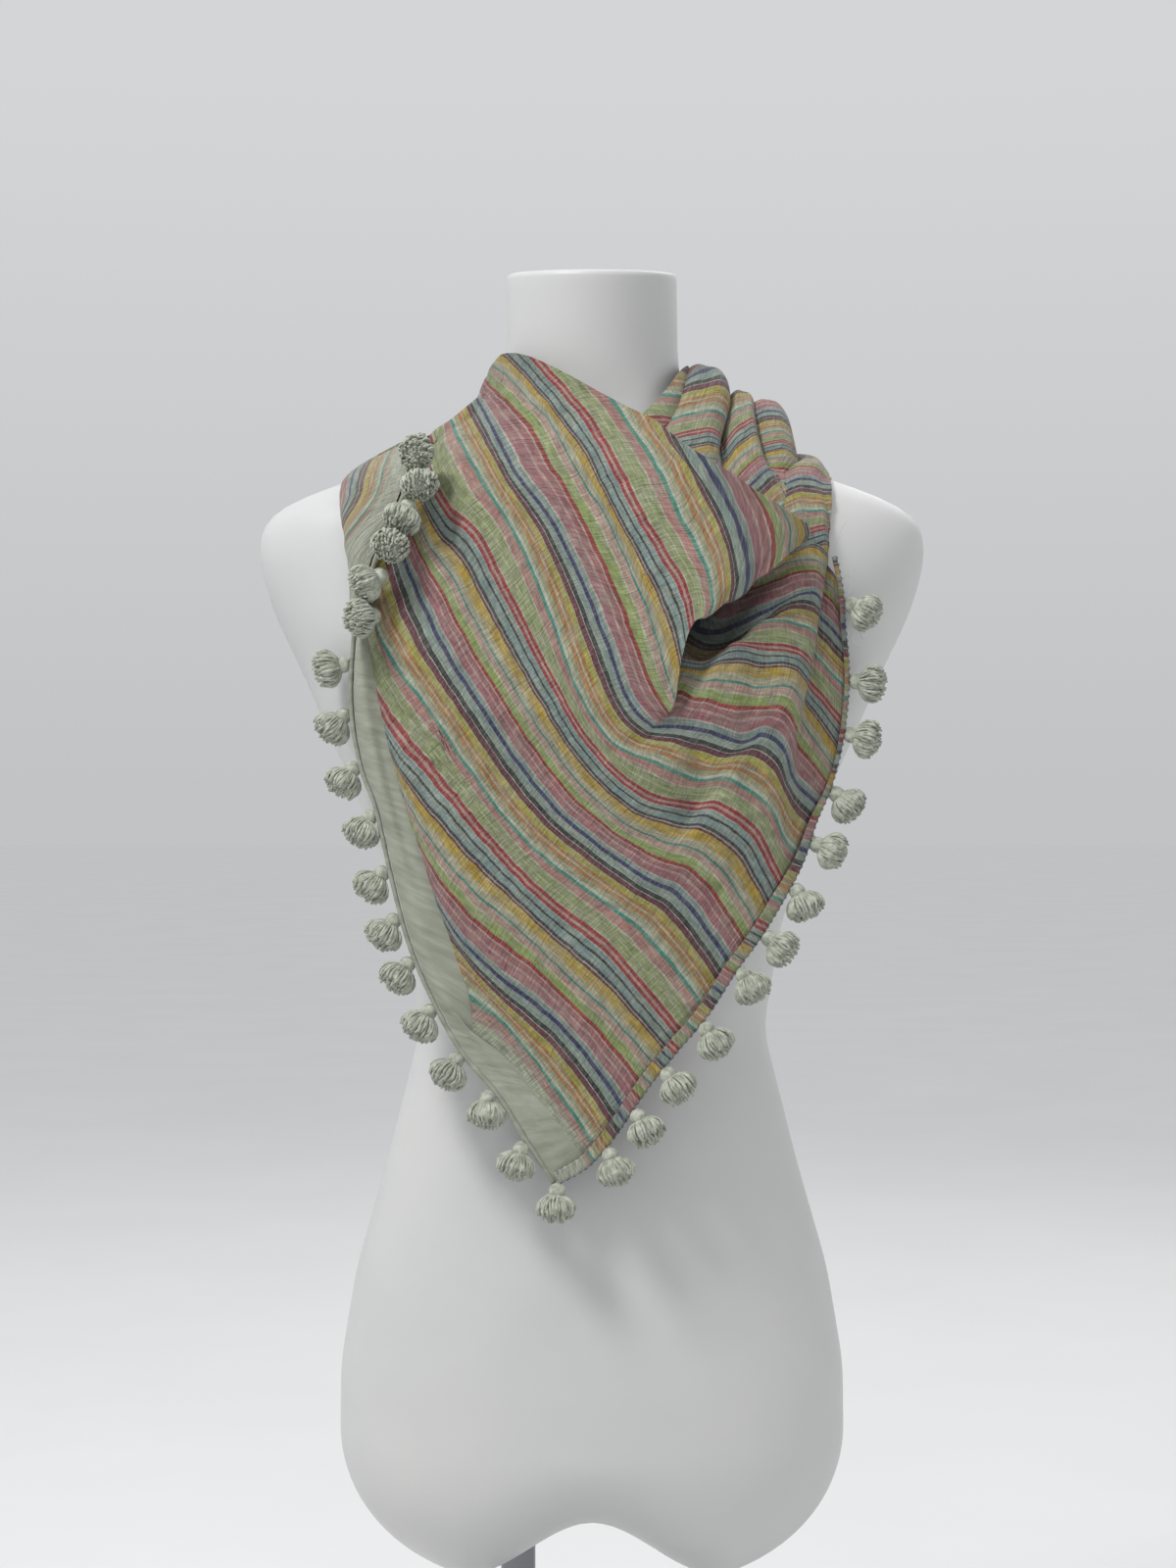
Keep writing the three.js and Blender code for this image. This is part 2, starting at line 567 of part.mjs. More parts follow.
function makeCloth() {
  const frontSheet = (name, lines, along, across, paint) =>
    addMesh(name, clothSolid(onFront(loft(lines, along, across))), paints[paint]);
  frontSheet("front_fall", Object.values(fall), 24, 17, "stripes");
  frontSheet("cowl_front", Object.values(cowl), 18, 12, "stripes");
  frontSheet("cowl_hollow", Object.values(hollow), 10, 5, "reverse");
  frontSheet("cowl_facing", facingLines(), 16, 2, "reverse");
  frontSheet("right_drop", Object.values(drop), 10, 12, "stripes");
  frontSheet("right_hem_fall", Object.values(hemFall).reverse(), 12, 3, "stripes");
  frontSheet("sage_border", [sageFold, leftHem], 24, 3, "sage");
  frontSheet("shoulder_flap", Object.values(flap).reverse(), 12, 4, "reverse");
  const backLines = Object.values(back).map((line) => [...line].reverse());
  addMesh("back_wrap", clothSolid(onBack(loft(backLines, 16, 8))), paints.stripes);
  addMesh("neck_collar", clothSolid(loft(Object.values(collar), 10, 3)), paints.stripes);
  for (const [name, pleat] of Object.entries(pleats)) {
    addMesh(name, clothSolid(pleatGrid(pleat, 11, 7)), paints.stripes);
  }
}

// The cloth turned in behind the cowl's upper edge.
function facingLines() {
  const edge = cowl.neckline.slice(1, -2);
  const top = edge.map(([x, z, off]) => [x - 1, z - 2, off - 4.2]);
  const low = edge.map(([x, z, off]) => [x - 5, z - 20, off - 9]);
  return [top, low];
}

// A pleat is an arch of cloth at each step along its ridge, open towards the form.
function pleatGrid({ roll, ridge }, along, around) {
  const columns = ridge.map(({ y, z, x, wide, high, tip }) => [y, z, x, wide, high, tip]);
  const stations = evenly(columns, along);
  const place = ([y, z, x]) => new THREE.Vector3(x, y, z);
  const sideways = Math.sin(THREE.MathUtils.degToRad(roll));
  return stations.map((station, k) => {
    const [, , , wide, high, tip] = station;
    const lean = THREE.MathUtils.degToRad(tip);
    const forward = place(stations[Math.min(k + 1, along)]).sub(place(stations[Math.max(k - 1, 0)]));
    const across = new THREE.Vector3(sideways, -Math.sin(lean), Math.cos(lean)).cross(forward).normalize();
    const up = forward.clone().cross(across).normalize();
    return Array.from({ length: around + 1 }, (_, j) => {
      const turn = Math.PI * (j / around - 0.5);
      const point = place(station).addScaledVector(across, (-wide / 2) * Math.sin(turn));
      point.addScaledVector(up, high * (Math.cos(turn) - 1));
      while (insideForm(point, wall + 3 * seam)) point.addScaledVector(up, seam);
      return point.toArray();
    });
  });
}

// ---- hems and tassels ----

// A hem's points moved sideways in the front plane, to the right of its direction.
function besides(line, side, extra = 0) {
  return line.map(([x, z, off], k) => {
    const before = line[Math.max(k - 1, 0)];
    const after = line[Math.min(k + 1, line.length - 1)];
    const [run, rise] = [after[0] - before[0], after[1] - before[1]];
    const reach = side / Math.hypot(run, rise);
    return [x + rise * reach, z - run * reach, off + extra];
  });
}

function makeHems() {
  const gap = hem.roll + seam;
  const roll = (name, line, side, steps) => {
    const path = onFront([evenly(besides(line, side, -wall / 2), steps)])[0];
    addMesh(name, tube(path, hem.roll, 6), paints.sage);
  };
  roll("left_hem", [...leftHem].reverse(), -gap, 30);
  roll("flap_hem", flap.hem, -gap - 2 * seam, 10);
  const raise = hem.thick + 1.5 * seam;
  const band = [besides(rightHem, -hem.wide, raise), besides(rightHem, 0, raise)];
  addMesh("right_hem", clothSolid(onFront(loft(band, 36, 1)), hem.thick), paints.stripes);
}

// Each tassel hangs from a point on the outside of its hem, and a stitched tie reaches that point.
function makeTassels() {
  const rolled = 2 * hem.roll + seam;
  const middle = hem.thick / 2 + 1.5 * seam;
  const sets = {
    left: { line: [...leftHem].reverse(), side: -1, edge: rolled, off: -wall / 2, lift: 0, tip: 8 },
    right: { line: rightHem, side: 1, edge: 0.3, off: middle, lift: 0, tip: 8 },
    flap: { line: flap.hem, side: -1, edge: rolled + 2.5 * seam, off: -wall / 2, lift: 5, tip: 60 },
  };
  Object.entries(sets).forEach(([name, { line, side, edge, off, lift: up, tip }]) => {
    const heads = besides(line, side * (edge + tassel.head), off + up);
    tassels[name].forEach(({ along, turn, sunk = 0 }, k) => {
      const onHem = besides(line, side * (edge + 1.2 * seam - sunk), off);
      const [root, head] = [frontPoint(pointAlong(onHem, along)), frontPoint(pointAlong(heads, along))];
      addMesh(`tassel_${name}_${k + 1}`, tasselSolid(head, root, turn, tip), paints.yarn);
    });
  });
  const root = frontPoint(besides(rightHem, seam, middle)[0]);
  const head = root.clone().add(new THREE.Vector3(-2, 0, -tassel.head));
  addMesh("tassel_corner", tasselSolid(head, root, -4, 8), paints.yarn);
}

function frontPoint([x, z, off]) {
  return new THREE.Vector3(x, frontDrape(x, z, off), z);
}

function pointAlong(line, along) {
  const steps = 200;
  const fine = evenly(line, steps);
  let gone = 0;
  for (let k = 1; k < steps; k++) {
    gone += Math.hypot(fine[k][0] - fine[k - 1][0], fine[k][1] - fine[k - 1][1]);
    if (gone >= along) return fine[k];
  }
  return fine[steps];
}

// A round wrapped head with locks of yarn fanned out of it, and the tie that sews it to the hem at root.
// It is turned that many degrees from straight down, and its locks tip that much towards the front.
function tasselSolid(head, root, turn, tip) {
  const [a, b] = [THREE.MathUtils.degToRad(turn), THREE.MathUtils.degToRad(tip)];
  const down = new THREE.Vector3(Math.sin(a) * Math.cos(b), -Math.sin(b), -Math.cos(a) * Math.cos(b));
  const side = new THREE.Vector3(0, 1, 0).cross(down).normalize();
  const over = down.clone().cross(side);
  const ball = new THREE.SphereGeometry(tassel.head, 6, 4);
  ball.translate(head.x, head.y, head.z);
  let solid = toManifold(ball).add(toManifold(tieSolid(head, root)));
  solid = solid.add(toManifold(lockSolid(head, down, side)));
  for (let k = 0; k < tassel.locks; k++) {
    const angle = (2 * Math.PI * k) / tassel.locks;
    const out = side.clone().multiplyScalar(Math.cos(angle)).addScaledVector(over, Math.sin(angle));
    const fan = THREE.MathUtils.degToRad(tassel.spread);
    const way = down.clone().multiplyScalar(Math.cos(fan)).addScaledVector(out, Math.sin(fan));
    solid = solid.add(toManifold(lockSolid(head, way, down)));
  }
  return fromManifold(solid);
}

function tieSolid(head, root) {
  const span = root.clone().sub(head);
  const tie = new THREE.CylinderGeometry(tassel.tie, tassel.tie, span.length(), 4);
  const upright = new THREE.Vector3(0, 1, 0);
  const turned = new THREE.Quaternion().setFromUnitVectors(upright, span.clone().normalize());
  tie.applyQuaternion(turned);
  const middle = head.clone().addScaledVector(span, 0.5);
  return tie.translate(middle.x, middle.y, middle.z);
}

// One lock: a three-sided tuft, narrow at its root and thickest near its end.
function lockSolid(head, way, beside) {
  const rings = [
    { gone: 2, thick: 0.3 }, { gone: 11, thick: 1 }, { gone: tassel.skirt, thick: 0.6 },
  ];
  const across = way.clone().cross(beside).normalize();
  const positions = [];
  const third = way.clone().cross(across);
  rings.forEach(({ gone, thick }) => {
    for (let k = 0; k < 3; k++) {
      const angle = (2 * Math.PI * k) / 3;
      const p = head.clone().addScaledVector(way, gone);
      p.addScaledVector(across, tassel.lock * thick * Math.cos(angle));
      p.addScaledVector(third, tassel.lock * thick * Math.sin(angle));
      positions.push(p.x, p.y, p.z);
    }
  });
  const faces = [0, 2, 1, 6, 7, 8];
  for (let i = 0; i < 6; i += 3) {
    for (let k = 0; k < 3; k++) {
      const next = (k + 1) % 3;
      faces.push(i + k, i + next, i + next + 3, i + k, i + next + 3, i + k + 3);
    }
  }
  return closed(positions, faces);
}

makeStand();
makeForm();
makeCloth();
makeHems();
makeTassels();

export default part;
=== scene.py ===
import math
import random
import bpy
import bmesh
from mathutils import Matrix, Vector, noise


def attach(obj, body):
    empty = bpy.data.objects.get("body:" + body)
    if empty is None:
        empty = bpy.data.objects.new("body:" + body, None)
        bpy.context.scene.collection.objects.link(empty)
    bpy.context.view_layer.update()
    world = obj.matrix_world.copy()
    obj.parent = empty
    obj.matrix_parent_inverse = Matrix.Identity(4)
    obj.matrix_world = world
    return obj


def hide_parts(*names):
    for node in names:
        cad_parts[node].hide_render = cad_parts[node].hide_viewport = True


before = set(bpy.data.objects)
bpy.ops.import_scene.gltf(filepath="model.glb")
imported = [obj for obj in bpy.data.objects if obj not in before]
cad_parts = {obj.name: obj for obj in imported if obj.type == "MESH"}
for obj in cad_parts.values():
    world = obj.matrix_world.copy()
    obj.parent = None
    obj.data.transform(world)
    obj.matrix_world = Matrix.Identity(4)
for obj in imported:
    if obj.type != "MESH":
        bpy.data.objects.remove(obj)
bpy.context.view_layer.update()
random.seed(7)
mm = 0.001  # the tables below are in millimetres, the meshes in metres


# The floor, the camera and the lights.

view = {
    "eye": (-2.5, -1700, 735), "height": 998, "floorSize": 60,
    "roomColour": (0.80, 0.81, 0.82), "brightness": 0.82, "horizon": 0.82, "horizonEnds": 0.25}


def makeCamera():
    camera = bpy.data.cameras.new("frontCamera")
    camera.sensor_fit = "VERTICAL"
    camera.angle = 2 * math.atan(view["height"] / 2 / -view["eye"][1])
    eye = bpy.data.objects.new("frontCamera", camera)
    eye.location = Vector(view["eye"]) * mm
    eye.rotation_euler = (math.radians(90), 0, 0)
    bpy.context.scene.collection.objects.link(eye)
    bpy.context.scene.camera = eye
    bpy.context.scene.view_settings.view_transform = "Standard"


lamps = {
    "keyLamp": {"at": (-1.2, -1.2, 2.9), "size": 0.6, "power": 52},
    "fillLamp": {"at": (2.4, -1.4, 1.6), "size": 2.2, "power": 4},
    "backLamp": {"at": (0.6, 2.2, 2.4), "size": 2.0, "power": 14},
}
lampAim = (0, 0, 0.75)


def makeLights():
    for name, lamp in lamps.items():
        light = bpy.data.lights.new(name, "AREA")
        light.size = lamp["size"]
        light.energy = lamp["power"]
        obj = bpy.data.objects.new(name, light)
        obj.location = lamp["at"]
        aim = Vector(lampAim) - obj.location
        obj.rotation_euler = aim.to_track_quat("-Z", "Y").to_euler()
        bpy.context.scene.collection.objects.link(obj)


def makeRoom():
    world = bpy.data.worlds.new("paleRoom")
    world.use_nodes = True
    tree = world.node_tree
    sky = tree.nodes["Background"]
    way = addNode(tree, "ShaderNodeTexCoord").outputs["Generated"]
    split = addNode(tree, "ShaderNodeSeparateXYZ")
    tree.links.new(way, split.inputs[0])
    climb = mapped(tree, split.outputs["Z"], 0.0, view["horizonEnds"], view["horizon"], 1.0)
    tree.links.new(maths(tree, "MULTIPLY", climb, view["brightness"]), sky.inputs["Strength"])
    sky.inputs["Color"].default_value = (*view["roomColour"], 1)
    bpy.context.scene.world = world


def makeFloor():
    bpy.ops.mesh.primitive_plane_add(size=view["floorSize"], location=(0, 0, 0))
    floor = bpy.context.object
    floor.name = "floor"
    floor.data.materials.append(paleFloor())


# Small helpers that the materials share.

def linear(rgb):
    return tuple((c / 255 / 12.92) if c <= 10 else ((c / 255 + 0.055) / 1.055) ** 2.4 for c in rgb) + (1,)


def newMaterial(name, rgb, roughness):
    material = bpy.data.materials.new(name)
    material.use_nodes = True
    shader = material.node_tree.nodes["Principled BSDF"]
    shader.inputs["Base Color"].default_value = linear(rgb)
    shader.inputs["Roughness"].default_value = roughness
    return material, material.node_tree, shader


def addNode(tree, kind, **values):
    node = tree.nodes.new(kind)
    for name, value in values.items():
        if name in node.inputs:
            node.inputs[name].default_value = value
        else:
            setattr(node, name, value)
    return node


def objectPlace(tree):
    return addNode(tree, "ShaderNodeTexCoord").outputs["Object"]


def weavePlace(tree):
    return addNode(tree, "ShaderNodeUVMap", uv_map="weave").outputs["UV"]


def maths(tree, operation, first, second=0.0):
    node = tree.nodes.new("ShaderNodeMath")
    node.operation = operation
    for socket, value in zip(node.inputs, (first, second)):
        if isinstance(value, (int, float)):
            socket.default_value = value
        else:
            tree.links.new(value, socket)
    return node.outputs[0]


def scaled(tree, vector, scale):
    node = tree.nodes.new("ShaderNodeVectorMath")
    node.operation = "MULTIPLY"
    tree.links.new(vector, node.inputs[0])
    node.inputs[1].default_value = scale
    return node.outputs[0]


def noiseOf(tree, vector, scale, detail=3.0, rough=0.55):
    node = addNode(tree, "ShaderNodeTexNoise", Scale=1.0, Detail=detail, Roughness=rough)
    tree.links.new(scaled(tree, vector, scale), node.inputs["Vector"])
    return node.outputs["Fac"]


def mapped(tree, value, low, high, toLow, toHigh):
    node = tree.nodes.new("ShaderNodeMapRange")
    tree.links.new(value, node.inputs["Value"])
    for name, number in (("From Min", low), ("From Max", high), ("To Min", toLow), ("To Max", toHigh)):
        node.inputs[name].default_value = number
    return node.outputs["Result"]


# A noise cut off at a low and a high, and spread from one number to another. Its kind is how fine it is
# in three directions, its detail, its roughness, and the low and the high.
def uneven(tree, vector, kind, toLow, toHigh):
    scale, detail, rough, low, high = kind
    return mapped(tree, noiseOf(tree, vector, scale, detail, rough), low, high, toLow, toHigh)


# A noise that strays to both sides of nought, by its reach.
def drifting(tree, vector, kind):
    scale, detail, reach = kind
    centred = maths(tree, "SUBTRACT", noiseOf(tree, vector, scale, detail), 0.5)
    return maths(tree, "MULTIPLY", centred, reach)


def mixed(tree, factor, first, second, blend="MIX"):
    node = tree.nodes.new("ShaderNodeMix")
    node.data_type = "RGBA"
    node.blend_type = blend
    for socket, value in ((node.inputs[0], factor), (node.inputs[6], first), (node.inputs[7], second)):
        if isinstance(value, (int, float, tuple)):
            socket.default_value = value
        else:
            tree.links.new(value, socket)
    return node.outputs[2]


def greyOf(tree, value):
    grey = addNode(tree, "ShaderNodeCombineColor")
    for channel in grey.inputs[:3]:
        tree.links.new(value, channel)
    return grey.outputs[0]


def bumped(tree, shader, height, strength, distance):
    node = addNode(tree, "ShaderNodeBump", Strength=strength, Distance=distance)
    tree.links.new(height, node.inputs["Height"])
    tree.links.new(node.outputs["Normal"], shader.inputs["Normal"])


# The floor, the milky plastic of the form and the steel of its stand.

floorLook = {
    "colour": (226, 228, 229), "roughness": 0.8, "grey": 0.80,
    "cloud": ((3, 3, 3), 3.0, 0.55, 0.3, 0.7), "tone": (0.97, 1.0)}


def paleFloor():
    material, tree, shader = newMaterial("paleFloor", floorLook["colour"], floorLook["roughness"])
    tone = uneven(tree, objectPlace(tree), floorLook["cloud"], *floorLook["tone"])
    grey = greyOf(tree, maths(tree, "MULTIPLY", tone, floorLook["grey"]))
    tree.links.new(grey, shader.inputs["Base Color"])
    return material


plasticLook = {
    "colour": (198, 198, 197), "roughness": 0.42,
    "glow": 0.35, "glowReach": (0.03, 0.03, 0.028), "bend": 1.46,  # milky light inside, and how light bends
    "cloud": ((6, 6, 6), 3.0, 0.55, 0.3, 0.7), "tones": ((194, 195, 195), (203, 203, 201)),
    "wear": ((40, 40, 40), 3.0, 0.55, 0.3, 0.7), "wornTo": (0.38, 0.5), "grain": (900, 900, 900),
    "grainHeight": (0.08, 0.0004)}


def frostedPlastic():
    look = plasticLook
    material, tree, shader = newMaterial("frostedPlastic", look["colour"], look["roughness"])
    shader.inputs["Subsurface Weight"].default_value = look["glow"]
    shader.inputs["Subsurface Radius"].default_value = look["glowReach"]
    shader.inputs["IOR"].default_value = look["bend"]
    place = objectPlace(tree)
    cloud = uneven(tree, place, look["cloud"], 0.0, 1.0)
    tint = mixed(tree, cloud, *(linear(tone) for tone in look["tones"]))
    tree.links.new(tint, shader.inputs["Base Color"])
    tree.links.new(uneven(tree, place, look["wear"], *look["wornTo"]), shader.inputs["Roughness"])
    bumped(tree, shader, noiseOf(tree, place, look["grain"]), *look["grainHeight"])
    return material


steelLook = {
    "colour": (120, 122, 125), "roughness": 0.2, "smear": ((6, 6, 3), 3.0, 0.55, 0.3, 0.7),
    "smearedTo": (0.17, 0.23), "scratch": (900, 900, 14), "scratchHeight": (0.06, 0.0003)}


def polishedSteel():
    material, tree, shader = newMaterial("polishedSteel", steelLook["colour"], steelLook["roughness"])
    shader.inputs["Metallic"].default_value = 1.0
    place = objectPlace(tree)
    smear = uneven(tree, place, steelLook["smear"], *steelLook["smearedTo"])
    tree.links.new(smear, shader.inputs["Roughness"])
    bumped(tree, shader, noiseOf(tree, place, steelLook["scratch"]), *steelLook["scratchHeight"])
    return material


# The striped silk. First one repeat of the stripes: where each band starts, as a share of the repeat,
# and its colour.

stripeBands = [
    (0.000, (44, 152, 134)), (0.022, (188, 190, 174)), (0.042, (172, 168, 140)), (0.080, (178, 142, 108)),
    (0.112, (186, 178, 150)), (0.128, (176, 140, 106)), (0.150, (176, 168, 108)), (0.200, (122, 76, 84)),
    (0.243, (206, 204, 196)), (0.250, (66, 72, 70)), (0.285, (148, 160, 150)), (0.332, (74, 80, 112)),
    (0.362, (147, 158, 150)), (0.392, (166, 128, 128)), (0.436, (184, 158, 152)), (0.446, (164, 124, 122)),
    (0.478, (160, 64, 66)), (0.503, (158, 167, 118)), (0.548, (184, 162, 148)), (0.586, (86, 146, 136)),
    (0.600, (178, 172, 150)), (0.640, (184, 164, 104)), (0.688, (116, 68, 80)), (0.708, (62, 66, 72)),
    (0.726, (147, 159, 153)), (0.764, (58, 62, 48)), (0.774, (148, 160, 154)), (0.805, (164, 70, 72)),
    (0.828, (184, 156, 148)), (0.842, (162, 62, 66)), (0.866, (160, 165, 128)), (0.948, (178, 146, 136)),
]
paleThreads = [0.040, 0.197, 0.282, 0.329, 0.389, 0.475, 0.545, 0.703, 0.801, 0.863, 0.904, 0.944]
paleThread = {"wide": 0.006, "share": 0.5, "colour": (200, 198, 186)}
stripeMiddle = (150, 142, 124)  # the colour that a bolder stripe moves away from
plainBand = {
    "colour": (170, 174, 158),  # before the weave's uneven tone and painted shade, which darken it to the border's own tone
    "edge": -0.10, "wide": 0.10}  # where the plain border meets the first green band, in repeats
# The silk's look; one number in it is how bright the painted shade leaves the bottom of the hollow under the
# fold.
silkLook = {
    "colour": (160, 150, 130), "roughness": 0.75, "sheen": 0.2, "sheenRoughness": 0.45, "shine": 0.28,
    "vivid": 1.18, "value": 0.675, "contrast": 1.6, "paintedHollowShade": 0.28, "crinkle": 1.0,
    "slub": 0.16, "weft": 0.16, "haze": 0.45, "fade": 0.0}
silkTones = {
    "slub": (176, 176, 160), "weft": (196, 194, 182), "haze": (164, 163, 144), "fade": (176, 176, 160)}
blushTones = (  # what the dye is multiplied by in its pinker and its greener patches
    (1.07, 0.95, 0.96, 1), (0.94, 1.03, 0.95, 1))
hazyFrom = (0.12, 0.3, 0.1, 1.0)  # a dark band takes little of the haze, a bright one all of it
# How far a band's edge strays, finely and slowly: how fine in three directions, the detail, and the reach
# in repeats.
stripeDrift = {"fuzz": ((160, 420, 0), 2.0, 0.014), "drift": ((1.3, 6, 0), 3.0, 0.024), "shift": 0.011}
silkUneven = {  # each row as uneven() takes it
    "blush": ((8, 34, 0), 3.0, 0.7, 0.35, 0.65), "haze": ((11, 6, 0), 4.0, 0.65, 0.42, 0.64),
    "slub": ((14, 60, 0), 4.0, 0.55, 0.42, 0.62), "weft": ((26, 420, 0), 2.0, 0.7, 0.35, 0.68),
    "threads": ((330, 420, 0), 1.0, 0.55, 0.28, 0.72), "patch": ((16, 7, 0), 4.0, 0.65, 0.34, 0.66),
    "speck": ((95, 9, 0), 3.0, 0.75, 0.32, 0.68), "paintedPuckerShade": ((10, 85, 0), 3.0, 0.75, 0.32, 0.68)}
# How far each noise darkens or lightens the silk; the last is painted shade of fine puckers across the
# stripes.
silkShades = {"threads": (0.70, 1.14), "patch": (0.78, 1.08), "speck": (0.66, 1.22), "paintedPuckerShade": (0.68, 1.2)}
silkRelief = {
    "crinkle": ((7, 44, 0), 3.0, 0.6), "fine": ((30, 130, 0), 2.0, 0.6), "fineShare": 0.35,
    "threads": ((480, 480, 0), 1.0), "threadShare": 0.12, "high": 0.0016}


def bolder(rgb, contrast):
    return tuple(min(max(middle + (c - middle) * contrast, 0), 255) for c, middle in zip(rgb, stripeMiddle))


def bandRamp(tree, place, bands):
    ramp = addNode(tree, "ShaderNodeValToRGB")
    ramp.color_ramp.interpolation = "CONSTANT"
    marks = ramp.color_ramp.elements
    marks[0].color = bands[0][1]
    marks[1].position = bands[1][0]
    marks[1].color = bands[1][1]
    for start, colour in bands[2:]:
        marks.new(start).color = colour
    tree.links.new(place, ramp.inputs["Fac"])
    return ramp.outputs["Color"]


def stripePlace(tree, weave):
    split = addNode(tree, "ShaderNodeSeparateXYZ")
    tree.links.new(weave, split.inputs[0])
    fuzz = drifting(tree, weave, stripeDrift["fuzz"])
    drift = drifting(tree, weave, stripeDrift["drift"])
    fuzzy = maths(tree, "ADD", split.outputs["X"], fuzz)
    return maths(tree, "ADD", fuzzy, maths(tree, "ADD", drift, stripeDrift["shift"]))


def dyedStripes(tree, weave, place, look):
    repeat = maths(tree, "FRACT", place)
    bands = [(start, linear(bolder(rgb, look["contrast"]))) for start, rgb in stripeBands]
    lines = [(0.0, (0, 0, 0, 1))]
    for start in paleThreads:
        lines += [(start, (1, 1, 1, 1)), (start + paleThread["wide"], (0, 0, 0, 1))]
    banded = bandRamp(tree, repeat, bands)
    vivid = addNode(tree, "ShaderNodeHueSaturation", Saturation=look["vivid"], Value=look["value"])
    tree.links.new(banded, vivid.inputs["Color"])
    blush = mixed(tree, uneven(tree, weave, silkUneven["blush"], 0.0, 1.0), *blushTones)
    dyed = mixed(tree, 1.0, vivid.outputs["Color"], blush, "MULTIPLY")
    pale = maths(tree, "MULTIPLY", bandRamp(tree, repeat, lines), paleThread["share"])
    dyed = mixed(tree, pale, dyed, linear(paleThread["colour"]))
    bright = addNode(tree, "ShaderNodeRGBToBW")
    tree.links.new(banded, bright.inputs["Color"])
    hazy = mapped(tree, bright.outputs["Val"], *hazyFrom)
    haze = uneven(tree, weave, silkUneven["haze"], 0.0, look["haze"])
    return mixed(tree, maths(tree, "MULTIPLY", haze, hazy), dyed, linear(silkTones["haze"]))


# The silk's tone, uneven by threads, patches and specks, times painted shade of fine puckers across the
# stripes and of the hollow under the fold.
def silkShade(tree, weave, look):
    threads, patch, speck, paintedPuckerShade = (
        uneven(tree, weave, silkUneven[kind], *span) for kind, span in silkShades.items())
    broad = maths(tree, "MULTIPLY", threads, patch)
    shade = maths(tree, "MULTIPLY", broad, maths(tree, "MULTIPLY", speck, paintedPuckerShade))
    # Painted shade: the hollow under the folded edge is darkened by a number that the front cloth carries on
    # its points.
    paintedHollowShade = addNode(tree, "ShaderNodeAttribute", attribute_name="paintedHollowShade").outputs["Fac"]
    return maths(tree, "MULTIPLY", shade, mapped(tree, paintedHollowShade, 0.0, 1.0, 1.0, look["paintedHollowShade"]))


def stripedSilk(name, look):
    material, tree, shader = newMaterial(name, look["colour"], look["roughness"])
    shader.inputs["Sheen Weight"].default_value = look["sheen"]
    shader.inputs["Sheen Roughness"].default_value = look["sheenRoughness"]
    shader.inputs["Specular IOR Level"].default_value = look["shine"]
    weave = weavePlace(tree)
    place = stripePlace(tree, weave)
    dyed = dyedStripes(tree, weave, place, look)
    border = mapped(tree, place, plainBand["edge"], plainBand["edge"] + plainBand["wide"], 1.0, 0.0)
    colour = mixed(tree, border, dyed, linear(plainBand["colour"]))
    for kind in ("slub", "weft"):
        share = uneven(tree, weave, silkUneven[kind], 0.0, look[kind])
        colour = mixed(tree, share, colour, linear(silkTones[kind]))
    colour = mixed(tree, 1.0, colour, greyOf(tree, silkShade(tree, weave, look)), "MULTIPLY")
    if look["fade"]:
        colour = mixed(tree, look["fade"], colour, linear(silkTones["fade"]))
    tree.links.new(colour, shader.inputs["Base Color"])
    crinkle = noiseOf(tree, weave, *silkRelief["crinkle"])
    fine = maths(tree, "MULTIPLY", noiseOf(tree, weave, *silkRelief["fine"]), silkRelief["fineShare"])
    threads = maths(tree, "MULTIPLY", noiseOf(tree, weave, *silkRelief["threads"]), silkRelief["threadShare"])
    height = maths(tree, "ADD", maths(tree, "ADD", crinkle, fine), threads)
    bumped(tree, shader, height, look["crinkle"], silkRelief["high"])
    return material


# The plain border, the tassels' yarn and the sewing thread.

sageLook = {
    "roughness": 0.82, "sheen": 0.25, "cloud": ((6, 16, 0), 4.0, 0.55, 0.3, 0.7),
    "tones": ((130, 134, 119), (158, 162, 147)), "shade": (0.9, 1.06),
    "crinkle": ((9, 40, 0), 3.0, 0.6), "threadShare": 0.15, "relief": (0.35, 0.0014)}


def sageSilk():
    look = sageLook
    material, tree, shader = newMaterial("sageSilk", plainBand["colour"], look["roughness"])
    shader.inputs["Sheen Weight"].default_value = look["sheen"]
    weave = weavePlace(tree)
    cloud = uneven(tree, weave, look["cloud"], 0.0, 1.0)
    colour = mixed(tree, cloud, *(linear(tone) for tone in look["tones"]))
    shade = uneven(tree, weave, silkUneven["threads"], *look["shade"])
    colour = mixed(tree, 1.0, colour, greyOf(tree, shade), "MULTIPLY")
    tree.links.new(colour, shader.inputs["Base Color"])
    crinkle = noiseOf(tree, weave, *look["crinkle"])
    threads = maths(tree, "MULTIPLY", noiseOf(tree, weave, *silkRelief["threads"]), look["threadShare"])
    bumped(tree, shader, maths(tree, "ADD", crinkle, threads), *look["relief"])
    return material


yarnLook = {
    "colour": (176, 179, 167), "roughness": 0.88, "sheen": 0.3,
    "cloud": ((260, 260, 260), 3.0, 0.55, 0.32, 0.68), "tones": ((132, 137, 122), (188, 192, 178)),
    "twist": ((1500, 1500, 1500), 1.0), "relief": (0.3, 0.0005)}


def sageYarn():
    look = yarnLook
    material, tree, shader = newMaterial("sageYarn", look["colour"], look["roughness"])
    shader.inputs["Sheen Weight"].default_value = look["sheen"]
    place = objectPlace(tree)
    cloud = uneven(tree, place, look["cloud"], 0.0, 1.0)
    colour = mixed(tree, cloud, *(linear(tone) for tone in look["tones"]))
    tree.links.new(colour, shader.inputs["Base Color"])
    bumped(tree, shader, noiseOf(tree, place, *look["twist"]), *look["relief"])
    return material


